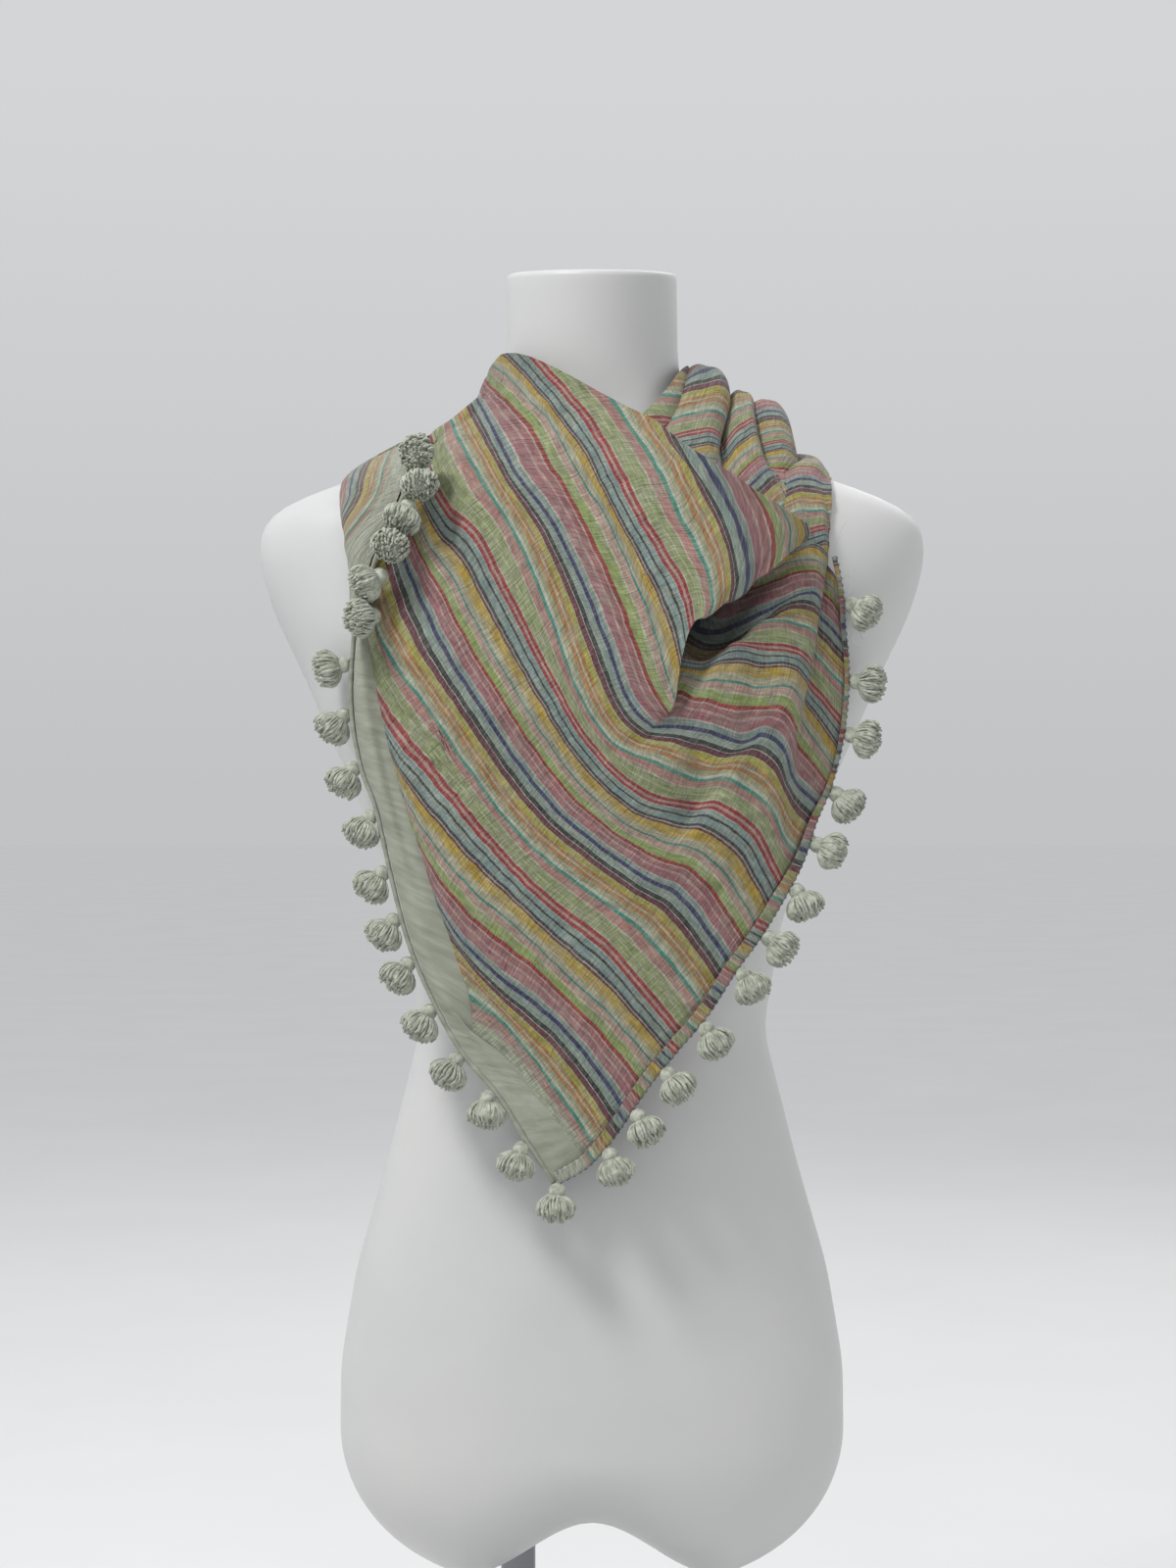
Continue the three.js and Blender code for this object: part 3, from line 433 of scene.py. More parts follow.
threadLook = {"roughness": 0.7, "twist": ((1200, 1200, 1200), 2.0, 0.55, 0.3, 0.7), "shade": (0.75, 1.1)}


def stitchThread(name, rgb):
    material, tree, shader = newMaterial(name, rgb, threadLook["roughness"])
    twist = uneven(tree, objectPlace(tree), threadLook["twist"], *threadLook["shade"])
    shaded = mixed(tree, 1.0, linear(rgb), greyOf(tree, twist), "MULTIPLY")
    tree.links.new(shaded, shader.inputs["Base Color"])
    return material


# The dress form's shape, which the cloth lies on.

formSections = [  # height, half width, front and back reach, and how square the section is
    (1062, 54, 70, 36, 2.0), (1010, 54.5, 63, 45, 2.0), (980, 57, 60, 52, 2.0), (962, 68, 62, 60, 2.0),
    (948, 92, 66, 66, 2.1), (936, 122, 71, 70, 2.3), (926, 152, 76, 73, 2.4), (917, 184, 81, 75, 2.5),
    (906, 204, 86, 77, 2.6), (890, 211, 91, 79, 2.6), (868, 209, 97, 81, 2.6), (840, 200, 105, 83, 2.5),
    (805, 183, 115, 85, 2.4), (770, 168, 121, 86, 2.4), (735, 152, 119, 84, 2.3), (700, 138, 108, 80, 2.2),
    (650, 121, 92, 76, 2.1), (580, 109, 82, 78, 2.1), (500, 129, 88, 92, 2.1), (430, 149, 93, 106, 2.2),
    (370, 159, 95, 112, 2.3), (330, 159.5, 94, 110, 2.3),
]
sectionTop = formSections[0][0]
levels = {"from": 300, "to": 1099}  # the heights that the table of sections covers
formTable = {}
for level in range(levels["from"], levels["to"] + 1):
    upper = [row for row in formSections if row[0] >= level] or [formSections[0]]
    lower = [row for row in formSections if row[0] < level] or [formSections[-1]]
    above, below = upper[-1], lower[0]
    share = (above[0] - level) / ((above[0] - below[0]) or 1)
    share = min(max(share, 0), 1)
    formTable[level] = [a + (b - a) * share for a, b in zip(above[1:], below[1:])]
cling = {
    "lift": 0.6,  # how much of a stand-off counts upward, where the form turns level
    "hang": 0.05,  # how fast free cloth falls away in front of the form, per mm of drop
    "step": 10, "top": 1000}  # how often the cloth above is looked at, and up to what height


def sectionAt(z):
    low = int(min(max(z, levels["from"]), levels["to"] - 1))
    share = min(max(z - low, 0), 1)
    return [a + (b - a) * share for a, b in zip(formTable[low], formTable[low + 1])]


def formDepth(x, z, off, side):
    half, front, back, square = sectionAt(z - cling["lift"] * off)
    q = abs(x) / (half + off)
    if q >= 1:
        return 0.0
    return side * ((front if side < 0 else back) + off) * (1 - q ** square) ** (1 / square)


def drape(x, z, off, side):
    depth = formDepth(x, z, off, side)
    above = z + cling["step"]
    while above < cling["top"]:
        reach = side * formDepth(x, above, off, side) - cling["hang"] * (above - z)
        if reach > side * depth:
            depth = side * reach
        above += cling["step"]
    return depth


def insideForm(p, margin):
    half, front, back, square = sectionAt(p.z - cling["lift"] * margin)
    deep = abs(p.y) / ((front if p.y < 0 else back) + margin)
    return (abs(p.x) / (half + margin)) ** square + deep ** square < 1


# Smooth lines and sheets through the points of a table.

curveSteps = 16  # the short steps between two points of a table


def catmull(a, b, c, d, t):
    square = (2 * a - 5 * b + 4 * c - d) * t * t
    return 0.5 * (2 * b + (c - a) * t + square + (3 * b - a - 3 * c + d) * t ** 3)


def evenly(points, steps, flat=2):
    fine = []
    last = len(points) - 1
    for i in range(last):
        a, b = points[max(i - 1, 0)], points[i]
        c, d = points[i + 1], points[min(i + 2, last)]
        for k in range(curveSteps):
            fine.append([catmull(*four, k / curveSteps) for four in zip(a, b, c, d)])
    fine.append(list(points[-1]))
    gone = [0.0]
    for p, q in zip(fine, fine[1:]):
        gone.append(gone[-1] + math.dist(p[:flat], q[:flat]))
    line = []
    i = 1
    for k in range(steps + 1):
        want = gone[-1] * k / steps
        while i < len(fine) - 1 and gone[i] < want:
            i += 1
        share = min(max((want - gone[i - 1]) / ((gone[i] - gone[i - 1]) or 1), 0), 1)
        line.append([p + (q - p) * share for p, q in zip(fine[i - 1], fine[i])])
    return line


# A row between two rows of a table, on a smooth curve through their neighbours.
def between(rows, places, at):
    i = max(k for k in range(len(places) - 1) if places[k] <= at or k == 0)
    span = places[i + 1] - places[i]
    t = min(max((at - places[i]) / span, 0), 1)
    before = rows[i - 1] if i else rows[i]
    after = rows[i + 2] if i + 2 < len(rows) else rows[i + 1]
    gapBefore = (places[i] - places[i - 1]) if i else span
    gapAfter = (places[i + 2] - places[i + 1]) if i + 2 < len(rows) else span
    leave, leaveSlope = 2 * t ** 3 - 3 * t * t + 1, t ** 3 - 2 * t * t + t
    reach, reachSlope = 3 * t * t - 2 * t ** 3, t ** 3 - t * t
    line = []
    for p, a, b, q in zip(before, rows[i], rows[i + 1], after):
        point = []
        for u, v, w, x in zip(p, a, b, q):
            slopeIn = span * (w - u) / (gapBefore + span) if i else w - v
            slopeOut = span * (x - v) / (gapAfter + span) if i + 2 < len(rows) else w - v
            point.append(leave * v + leaveSlope * slopeIn + reach * w + reachSlope * slopeOut)
        line.append(point)
    return line


# From nought to one, slow at both ends.
def eased(t):
    t = min(max(t, 0), 1)
    return t * t * (3 - 2 * t)


def gridOf(lines, along, across):
    cut = [evenly(line, along) for line in lines]
    columns = [evenly([line[k] for line in cut], across) for k in range(along + 1)]
    return [[column[j] for column in columns] for j in range(across + 1)]


def normalsOf(points):
    rows, columns = len(points), len(points[0])
    ways = []
    for i in range(rows):
        line = []
        for j in range(columns):
            down = points[min(i + 1, rows - 1)][j] - points[max(i - 1, 0)][j]
            side = points[i][min(j + 1, columns - 1)] - points[i][max(j - 1, 0)]
            line.append(side.cross(down).normalized())
        ways.append(line)
    return ways


# Cloth: a sheet of points with its weave coordinates, in stripe repeats of 100 mm, and a thickness.

clothThick = 0.7
rimAngle = 60  # an edge that turns more than this, in degrees, stays sharp
repeatSize = 100.0
crinkleSize = {"broad": (3.2, 5.5, 1.0), "narrow": (6.0, 15.0, 8.0), "narrowShare": 0.45}
creaseShape = {"reach": 2.5, "endPower": 0.6}  # how many widths it reaches, and how it fades at its ends
upShare = 0.7  # how much upward the way out of the form leans


def makeSheet(name, points, weave, thick, material, paintedHollowShade=None):
    rows, columns = len(points), len(points[0])
    print(name, "cloth", round(clothArea(points), 5), "square metres")
    flip = facingOut(points) > 0
    faces = []
    for i in range(rows - 1):
        for j in range(columns - 1):
            a = i * columns + j
            quad = (a, a + 1, a + columns + 1, a + columns)
            faces.append(quad if flip else quad[::-1])
    mesh = bpy.data.meshes.new(name)
    mesh.from_pydata([tuple(p * mm) for line in points for p in line], [], faces)
    layer = mesh.uv_layers.new(name="weave")
    flat = [pair for line in weave for pair in line]
    for corner in mesh.loops:
        layer.data[corner.index].uv = flat[corner.vertex_index]
    # The painted shade of the hollow, one number a point.
    if paintedHollowShade:
        depth = mesh.attributes.new("paintedHollowShade", "FLOAT", "POINT")
        depth.data.foreach_set("value", [amount for line in paintedHollowShade for amount in line])
    mesh.materials.append(material)
    mesh.shade_smooth()
    sheet = bpy.data.objects.new(name, mesh)
    bpy.context.scene.collection.objects.link(sheet)
    applyModifier(sheet, "SOLIDIFY", thickness=thick * mm, offset=-1.0)
    sharpenRim(sheet.data)
    return sheet


def clothArea(points):
    total = 0.0
    for line, below in zip(points, points[1:]):
        for a, b, c, d in zip(line, line[1:], below[1:], below):
            total += ((c - a).cross(d - b)).length / 2
    return total * mm * mm


def sharpenRim(mesh):
    form = bmesh.new()
    form.from_mesh(mesh)
    for edge in form.edges:
        edge.smooth = edge.calc_face_angle(0) < math.radians(rimAngle)
    form.to_mesh(mesh)
    form.free()


def applyModifier(obj, kind, **values):
    bpy.ops.object.select_all(action="DESELECT")
    obj.select_set(True)
    bpy.context.view_layer.objects.active = obj
    modifier = obj.modifiers.new(kind.lower(), kind)
    for name, value in values.items():
        setattr(modifier, name, value)
    bpy.ops.object.modifier_apply(modifier=modifier.name)


def awayFromForm(p):
    return Vector((p.x, p.y, upShare * math.hypot(p.x, p.y)))


# More than nought when the sheet's normals point away from the form.
def facingOut(points):
    total = 0.0
    for line, ways in zip(points, normalsOf(points)):
        total += sum(way.dot(awayFromForm(p)) for p, way in zip(line, ways))
    return total


def creased(points, creases):
    sign = 1 if facingOut(points) > 0 else -1
    moved = []
    for line, ways in zip(points, normalsOf(points)):
        row = []
        for p, way in zip(line, ways):
            push = sum(creaseHeight(p, crease) for crease in creases)
            row.append(p + way * (sign * push))
        moved.append(row)
    return moved


def creaseHeight(p, crease):
    nearest, along = 1e9, 0
    path = crease["path"]
    for k in range(len(path) - 1):
        (ax, az), (bx, bz) = path[k], path[k + 1]
        run, rise = bx - ax, bz - az
        t = min(max(((p.x - ax) * run + (p.z - az) * rise) / (run * run + rise * rise), 0), 1)
        away = math.hypot(p.x - ax - run * t, p.z - az - rise * t)
        if away < nearest:
            nearest, along = away, (k + t) / (len(path) - 1)
    if nearest > creaseShape["reach"] * crease["wide"]:
        return 0
    ends = math.sin(math.pi * min(max(along, 0.0), 1.0)) ** creaseShape["endPower"]
    return crease["high"] * ends * math.exp(-((nearest / crease["wide"]) ** 2))


def rippled(points, weave, high):
    moved = []
    for line, ways, pairs in zip(points, normalsOf(points), weave):
        moved.append([p + way * (high * ripple(u, v)) for p, way, (u, v) in zip(line, ways, pairs)])
    return moved


def ripple(u, v):
    broad, narrow = (noise.noise(Vector((u * across, v * along, seed)))
                     for across, along, seed in (crinkleSize["broad"], crinkleSize["narrow"]))
    return broad + crinkleSize["narrowShare"] * narrow


def onFront(x, z, off):
    return Vector((x, drape(x, z, off, -1), z))


# How far along a line each of its points lies, in repeats.
def alongOf(points):
    gone = [0.0]
    for p, q in zip(points, points[1:]):
        gone.append(gone[-1] + (q - p).length / repeatSize)
    return gone


# The weave over a grid of points: the stripe at its first and its last row, how far that slants along a
# row, and where the weave starts along the stripes.
def weaveOver(points, stripes):
    weave = []
    rows = len(points) - 1
    first, last = stripes["first"], stripes["last"]
    for i, line in enumerate(points):
        gone = alongOf(line)
        row = []
        for g in gone:
            slanted = stripes["slant"] * g / (gone[-1] or 1)
            row.append((first + (last - first) * i / rows + slanted, stripes["start"] + g))
        weave.append(row)
    return weave


def carried(piece, slot, *nodes):
    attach(piece, "root")
    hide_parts(*nodes)
    return piece


def simplePiece(name, points, weave, material, node, slot, thick=clothThick):
    return carried(makeSheet(name, points, weave, thick, material), slot, node)


# The front of the scarf: one sheet from the throat to the corner.

# Lower rows: each follows one stripe from the furrow or the left shoulder to the right hem. "at" is the
# stripe's place in repeats, and a point is (x, z, how far the cloth stands from the form).
lowerRows = [
    {"at": -0.1, "line": [(-71, 586, 3.5), (-51, 572, 4), (-30, 546, 4.5), (-3.5, 510.5, 6)]},
    {"at": 0.0, "line": [(-73, 608, 5), (-59, 599, 8), (-41, 580, 8), (-18, 549, 8), (4, 517, 9)]},
    {"at": 0.35, "line": [
        (-98, 675, 4), (-83, 650, 9), (-61, 627, 12), (-26, 600, 10), (-2, 574, 11), (22.5, 540, 9)]},
    {"at": 0.59, "line": [
        (-117, 736, 4), (-100, 708, 10), (-72, 675, 12), (-45, 652, 11), (-18, 626, 10), (10, 600, 11),
        (39.5, 567, 9)]},
    {"at": 0.855, "line": [
        (-132, 798, 4), (-119, 775, 9), (-84, 733, 12), (-49, 692, 10), (-20, 665, 10), (10, 642, 12),
        (38, 609, 11), (55.5, 588, 9)]},
    {"at": 1.0, "line": [
        (-139, 895, 8), (-137, 872, 8), (-131, 832, 8), (-118, 805, 10), (-96, 776, 13), (-73, 744, 11),
        (-49, 712, 9), (-23, 687, 11), (21, 655, 13), (43, 633, 11), (68, 600, 9)]},
    {"at": 1.35, "line": [
        (-119, 912, 8), (-117, 885, 10), (-104, 851, 9), (-84, 811, 13), (-61, 775, 11), (-40, 744, 9),
        (-14, 714, 12), (29, 682, 14), (52, 670, 12), (72, 645, 10), (85, 625, 9)]},
    {"at": 1.835, "line": [
        (-103, 957, 7), (-100, 930, 8), (-88, 903, 8), (-68, 882, 10), (-46, 840, 11), (-22, 794, 11),
        (-2, 760, 12), (27, 732, 14), (58, 723, 9), (74, 723, 13), (95, 709, 14), (109, 685, 11),
        (116, 672, 9)]},
    {"at": 2.0, "line": [
        (-90, 967, 8), (-81, 945, 8), (-64, 914, 10), (-42, 876, 11), (-23, 829, 11), (-8, 788, 12),
        (12, 759, 13), (41, 746, 15), (62, 737, 11), (80, 738, 14), (103, 723, 15), (115, 701, 12),
        (124, 691, 9)]},
]
lowerShares = (0.66, 0.03, 0.22)  # how much of a lower row lies over, under and across, as in the upper rows

# Upper rows: over the chest to the folded edge, under that edge to the bottom of the hollow, across
# to the right ridge, and down the side to the hem. Each stretch starts where the one before it ends.
upperRows = [
    {"at": 2.35,
     "over": [
         (-73, 981, 9), (-64, 961, 9), (-46, 923, 10), (-26, 896, 12), (-7, 859, 12), (10.5, 815, 13),
         (17, 795, 13), (25, 779, 13), (36, 769, 12)],
     "under": [(38, 769, 11.5), (42, 769, 11)],
     "across": [
         (52, 769, 10), (68, 767, 14), (88, 760, 12), (102, 765, 15), (114, 757, 15), (119, 742, 14)],
     "side": [(123, 735, 9), (130, 729, 9), (139, 721, 9)]},
    {"at": 2.49,
     "over": [
         (-68, 993, 10), (-61, 981, 10), (-49, 967, 11), (-37, 952, 13), (-26, 929, 15), (-17, 915, 16),
         (-2, 885, 17), (14.5, 849, 17), (28, 812, 16), (35, 794, 15), (45, 777, 13)],
     "under": [(46.5, 778, 10), (46, 782, 8), (48, 789, 7.5)],
     "across": [
         (53, 790, 9), (60, 786, 14), (69, 785, 15), (82, 781, 13), (97, 781, 14), (112, 781, 15),
         (119, 775, 14), (123, 768, 9)],
     "side": [(123, 760, 5), (131, 750, 7), (144, 734, 9)]},
    {"at": 2.59,
     "over": [
         (-62.5, 998, 11), (-50, 985, 12), (-38, 970, 14), (-26, 956, 16), (-15, 935, 17), (-3.5, 914, 18),
         (7.6, 896, 19), (21, 866, 19), (34, 835, 18), (43, 804, 16), (48.5, 786, 14)],
     "under": [(50, 787, 10), (48, 791, 7.5), (48, 799, 7)],
     "across": [
         (54, 799, 8), (62, 797, 12), (66, 796, 15.5), (72, 797, 16), (84, 796, 15), (99, 793, 13),
         (113, 794, 14), (121, 791, 14), (126.5, 783, 9)],
     "side": [(126, 774, 5), (134, 762, 7), (147, 745, 9)]},
    {"at": 2.7,
     "over": [
         (-54.6, 1002, 12), (-38, 983, 14), (-26, 967.5, 16), (-14, 949, 18), (-3.5, 935, 19),
         (9.3, 907, 20), (24, 878, 21), (38, 851, 20), (48.5, 824, 18), (52, 807, 16)],
     "under": [(53.5, 806, 11), (49, 803, 7), (47, 806, 7)],
     "across": [
         (54, 804, 8), (64, 803, 10), (70, 805, 14), (75, 807, 16.5), (86, 808, 15), (100, 806, 13),
         (114, 806, 14), (123, 803, 14), (129, 796, 9)],
     "side": [(128, 786, 5), (137, 774, 7), (149.5, 757, 9)]},
    {"at": 2.835,
     "over": [
         (-33, 994, 17), (-26, 986, 18), (-12.5, 969.5, 20), (1, 950.6, 21), (14.6, 925, 22),
         (28, 897, 22), (41, 874, 22), (54, 852, 21), (59, 829, 18)],
     "under": [(61, 826, 12), (54, 818, 6), (48, 813, 5)],
     "across": [
         (56, 810, 6), (66, 808, 8), (76, 813, 13), (83, 818, 17), (92, 818, 15.5), (104, 817, 13),
         (116, 816, 14), (126, 813, 14), (131, 807, 9)],
     "side": [(130, 797, 5), (139, 787, 7), (152, 772, 8.6)]},
    {"at": 3.0,
     "over": [
         (10.6, 968.7, 22), (18.8, 956, 23), (28, 941.6, 24), (37, 926, 25), (45, 909.6, 26),
         (51, 894.5, 26), (58, 881, 26), (64.5, 867.7, 26), (69, 854.5, 25), (70.5, 841, 23),
         (68.4, 834, 20)],
     "under": [(69, 831, 13), (60, 821, 6), (49, 817, 4.5)],
     "across": [
         (56, 811, 5), (66, 806, 6), (84, 817, 10), (97, 829, 16), (110, 832, 15), (120, 831, 13.5),
         (130, 828, 13), (134.5, 824, 9)],
     "side": [(133, 814, 5), (141, 805, 7), (153, 793, 8.6)]},
    {"at": 3.17,
     "over": [
         (38, 953.6, 26), (43.8, 940.6, 27), (54.7, 926, 28), (61, 911, 28), (68, 897.5, 28),
         (74, 884, 28), (79, 868, 27), (80.4, 854.5, 25), (79, 842.7, 21)],
     "under": [(79, 839, 13), (66, 826, 6), (52, 821, 4.5)],
     "across": [
         (58, 817, 4.5), (68, 813, 5), (82, 816, 6.5), (95, 823, 11), (107, 833, 14.5), (118, 838, 14),
         (128, 837.5, 13), (136, 834, 9)],
     "side": [(134.5, 825, 5), (142.5, 816, 7), (153, 805, 8.6)]},
    {"at": 3.27,
     "over": [
         (49.6, 943, 28), (53.5, 934.6, 28.5), (61.3, 920.5, 29), (70.3, 906.5, 29), (77, 892, 29),
         (82, 877, 29), (85, 864, 27), (85.7, 853, 24), (83.5, 843.5, 20)],
     "under": [(83, 840, 13), (70, 830, 6), (55, 827, 4.5)],
     "across": [
         (62, 821.5, 4.5), (71, 818, 5), (82, 820, 6.5), (93, 826.5, 10.5), (102, 832, 12),
         (111, 840, 13.5), (122, 844.5, 13.5), (131, 844, 13), (137, 840, 9)],
     "side": [(135.5, 831, 5), (143, 823, 7), (153, 812, 8.6)]},
    {"at": 3.35,
     "over": [
         (66.4, 930, 30), (75.7, 914, 30), (81, 902, 30), (86.3, 890.7, 30), (90, 878.6, 29),
         (92, 867.5, 27), (92.4, 857, 24), (90.5, 848, 20)],
     "under": [(89, 844.5, 13), (77, 834, 6), (63, 829, 4.5)],
     "across": [
         (68, 826.5, 5), (76, 827, 6), (88, 832, 10), (97, 836, 11), (109, 841.5, 13), (122, 848, 14),
         (133, 850, 13), (138, 846, 9)],
     "side": [(136.5, 838, 5), (144, 830, 7), (152.5, 820, 8.6)]},
    {"at": 3.43,
     "over": [
         (83.5, 919, 31), (91.6, 902, 31), (96.5, 888.5, 30), (99, 877, 28), (99.5, 866.5, 25),
         (97.5, 855.5, 20)],
     "under": [(96, 852, 13), (88, 846, 9), (83, 843, 8.5)],
     "across": [
         (88, 843.5, 9), (95, 846, 10), (109, 851, 12), (122, 856, 13.5), (134, 857, 13), (139, 853, 9)],
     "side": [(137.5, 846, 5), (144.5, 838, 7), (152, 828, 8.6)]},
    {"at": 3.49,
     "over": [
         (94.5, 910.5, 31), (104, 895, 30.5), (107.5, 884, 28.5), (108.5, 874.6, 25), (106.5, 862, 20)],
     "under": [(105, 858.5, 14), (99, 854, 10), (96, 852, 9)],
     "across": [(102, 854, 10), (109, 857, 11), (122, 862, 13), (134, 863, 13), (140, 859, 9)],
     "side": [(138.5, 852, 5), (145, 845, 7), (151.5, 834, 8.6)]},
    {"at": 3.59,
     "over": [(111, 900, 31), (114.5, 895, 30.5), (118, 885, 28), (117, 872, 22)],
     "under": [(115.5, 869, 16), (110, 865, 11), (107, 863, 10)],
     "across": [(112, 865, 10.5), (118, 868, 11.5), (127, 870, 12.5), (136, 869, 12.5), (141, 865, 9)],
     "side": [(139.5, 859, 5.5), (145.5, 852, 7.5), (151, 842, 9)]},
    {"at": 3.65,
     "over": [(119.5, 894.5, 31), (122.5, 889, 30), (124, 883, 27), (122.5, 876.5, 23)],
     "under": [(121, 874, 17), (116.5, 870, 12), (114, 869, 11)],
     "across": [(118, 870.5, 11), (123, 873, 11.5), (130, 875, 12.5), (137, 873, 12), (141.5, 869, 9)],
     "side": [(140.5, 863, 6), (146, 857, 8), (150.5, 847, 9)]},
    {"at": 3.72,
     "over": [(128, 888.5, 30), (129.3, 885, 29), (129, 882, 27.5), (127.5, 880, 25.5)],
     "under": [(126, 878.5, 19), (123, 876, 14), (121, 875, 12)],
     "across": [(124, 876, 12), (128, 878, 12), (133, 879.5, 12.5), (138, 877.5, 12), (142, 873, 9)],
     "side": [(141.5, 868, 7), (146, 861, 9), (149.5, 851, 10)]},
]
columnsIn = {"over": 92, "under": 24, "across": 42, "side": 16}
cowl = {
    "out": 8,  # how much further the folded edge stands out
    "deep": 13, "rise": 0.7,  # how far the fold goes in behind it, and how much of that it also rises
    "from": 2.5, "fromOver": 0.3, "to": 3.74, "toOver": 0.25}  # the stripes between which it does so
paintedHollowShadeReach = {
    "from": 2.72, "to": 3.62, "over": 0.2,  # the stripes between which the hollow gets painted shade
    "under": 8, "way": (1, 0, -0.35), "clear": 3, "fade": 17}  # how the painted shade deepens, and which way it fades
frontCut = {"rowStep": 0.02, "lowerSteps": 400, "hemAt": 20, "ripple": 0.9}
crest = {"round": 9, "reach": 13, "blend": 14}  # how round the cloth's top fold over the left shoulder is

# Soft troughs (below nought) and ridges on the front, each along a path of (x, z).
frontCreases = [
    {"path": [(-106, 962), (-97, 932), (-88, 909), (-86, 880), (-72, 852), (-52, 812)],
     "wide": 6, "high": -6.0},
    {"path": [(-114, 930), (-102, 888), (-94, 850), (-80, 815)], "wide": 6, "high": 2.4},
    {"path": [(-92, 962), (-79, 925), (-72, 890), (-58, 850), (-40, 812)], "wide": 6, "high": 4.0},
    {"path": [(-74, 940), (-60, 929), (-50, 926)], "wide": 2.6, "high": 1.6},
    {"path": [(-78, 950), (-66, 944), (-56, 944)], "wide": 2.4, "high": -1.4},
    {"path": [(-128, 836), (-112, 796), (-88, 762), (-66, 724)], "wide": 6, "high": -2.6},
    {"path": [(-96, 940), (-86, 890), (-60, 850), (-30, 790), (-8, 745)], "wide": 9, "high": 2.6},
    {"path": [(-78, 960), (-60, 915), (-38, 880)], "wide": 6, "high": -2.4},
    {"path": [(-66, 985), (-50, 945), (-20, 915), (2, 880)], "wide": 7, "high": -2.2},
    {"path": [(-40, 992), (-18, 962), (8, 920), (28, 872)], "wide": 8, "high": 1.8},
    {"path": [(-130, 800), (-104, 752), (-70, 712), (-40, 672)], "wide": 8, "high": -3.0},
    {"path": [(-96, 700), (-66, 668), (-30, 640), (6, 598)], "wide": 8, "high": 2.4},
    {"path": [(-74, 640), (-46, 606), (-14, 574)], "wide": 6, "high": -2.0},
    {"path": [(-34, 760), (0, 722), (40, 690), (74, 650)], "wide": 10, "high": -2.6},
    {"path": [(4, 770), (34, 742), (66, 720), (92, 690)], "wide": 6, "high": 2.2},
    {"path": [(58, 776), (64, 750), (60, 724), (48, 700)], "wide": 6, "high": -3.2},
    {"path": [(84, 790), (82, 764), (84, 738), (82, 706)], "wide": 5, "high": 2.4},
    {"path": [(97, 812), (96, 780), (98, 748)], "wide": 5, "high": -2.2},
    {"path": [(30, 690), (18, 660), (22, 622), (34, 590)], "wide": 7, "high": 1.6},
    {"path": [(-10, 690), (-18, 650), (-8, 606)], "wide": 6, "high": -1.6},
    {"path": [(90, 700), (74, 672), (66, 640)], "wide": 5, "high": -1.6},
]


def frontRow(at):
    places = [row["at"] for row in upperRows]
    if at >= places[0]:
        return between(upperCut, places, at)
    return between(lowerCut + [upperCut[0]], [row["at"] for row in lowerRows] + [places[0]], at)


def cutUpper(row):
    line = []
    opening = eased((row["at"] - cowl["from"]) / cowl["fromOver"])
    full = opening * eased((cowl["to"] - row["at"]) / cowl["toOver"])
    joint = []
    for name, count in columnsIn.items():
        piece = evenly(joint + row[name], count)
        joint = [row[name][-1]]
        for k, point in enumerate(piece):
            share = k / count
            if name == "over":
                point[2] += cowl["out"] * full * share ** 3
            elif name == "under":
                inward = cowl["deep"] * full * math.sin(math.pi * share) ** 1.5
                point[2] += cowl["out"] * full * (1 - share) ** 2
                point[0] -= inward
                point[1] += cowl["rise"] * inward
        line += piece if not line else piece[1:]
    return line


def cutLower(row):
    whole = frontCut["lowerSteps"]
    fine = evenly(row["line"], whole)
    line = [fine[0]]
    gone = 0.0
    for count, share in zip(columnsIn.values(), (*lowerShares, 1 - sum(lowerShares))):
        for k in range(1, count + 1):
            spot = min((gone + share * k / count) * whole, whole)
            low = min(int(spot), whole - 1)
            line.append([a + (b - a) * (spot - low) for a, b in zip(fine[low], fine[low + 1])])
        gone += share
    return line


lowerCut = [cutLower(row) for row in lowerRows]
upperCut = [cutUpper(row) for row in upperRows]


def roundCrest(points, side):
    rounded = []
    for line in points:
        row = []
        for p in line:
            near = min((p - line[0]).length / crest["reach"], 1)
            deep = crest["round"] * math.sqrt(1 - (1 - near) ** 2)
            row.append(Vector((p.x, side * deep, p.z)) if side * p.y < deep else p)
        rounded.append(row)
    return rounded


# How much painted shade each point of a front row gets in the hollow under the folded edge.
def paintedHollowShadeOf(at, line):
    opening = eased((at - paintedHollowShadeReach["from"]) / paintedHollowShadeReach["over"])
    full = opening * eased((paintedHollowShadeReach["to"] - at) / paintedHollowShadeReach["over"])
    edge = columnsIn["over"]
    deepest = edge + columnsIn["under"]
    amounts = [0.0] * len(line)
    for j in range(edge, len(line)):
        if j < deepest:
            amounts[j] = full * eased((j - edge) / paintedHollowShadeReach["under"])
        else:
            past = (line[j] - line[edge]).dot(Vector(paintedHollowShadeReach["way"]))
            amounts[j] = full * eased(1 - (past - paintedHollowShadeReach["clear"]) / paintedHollowShadeReach["fade"])
    return amounts


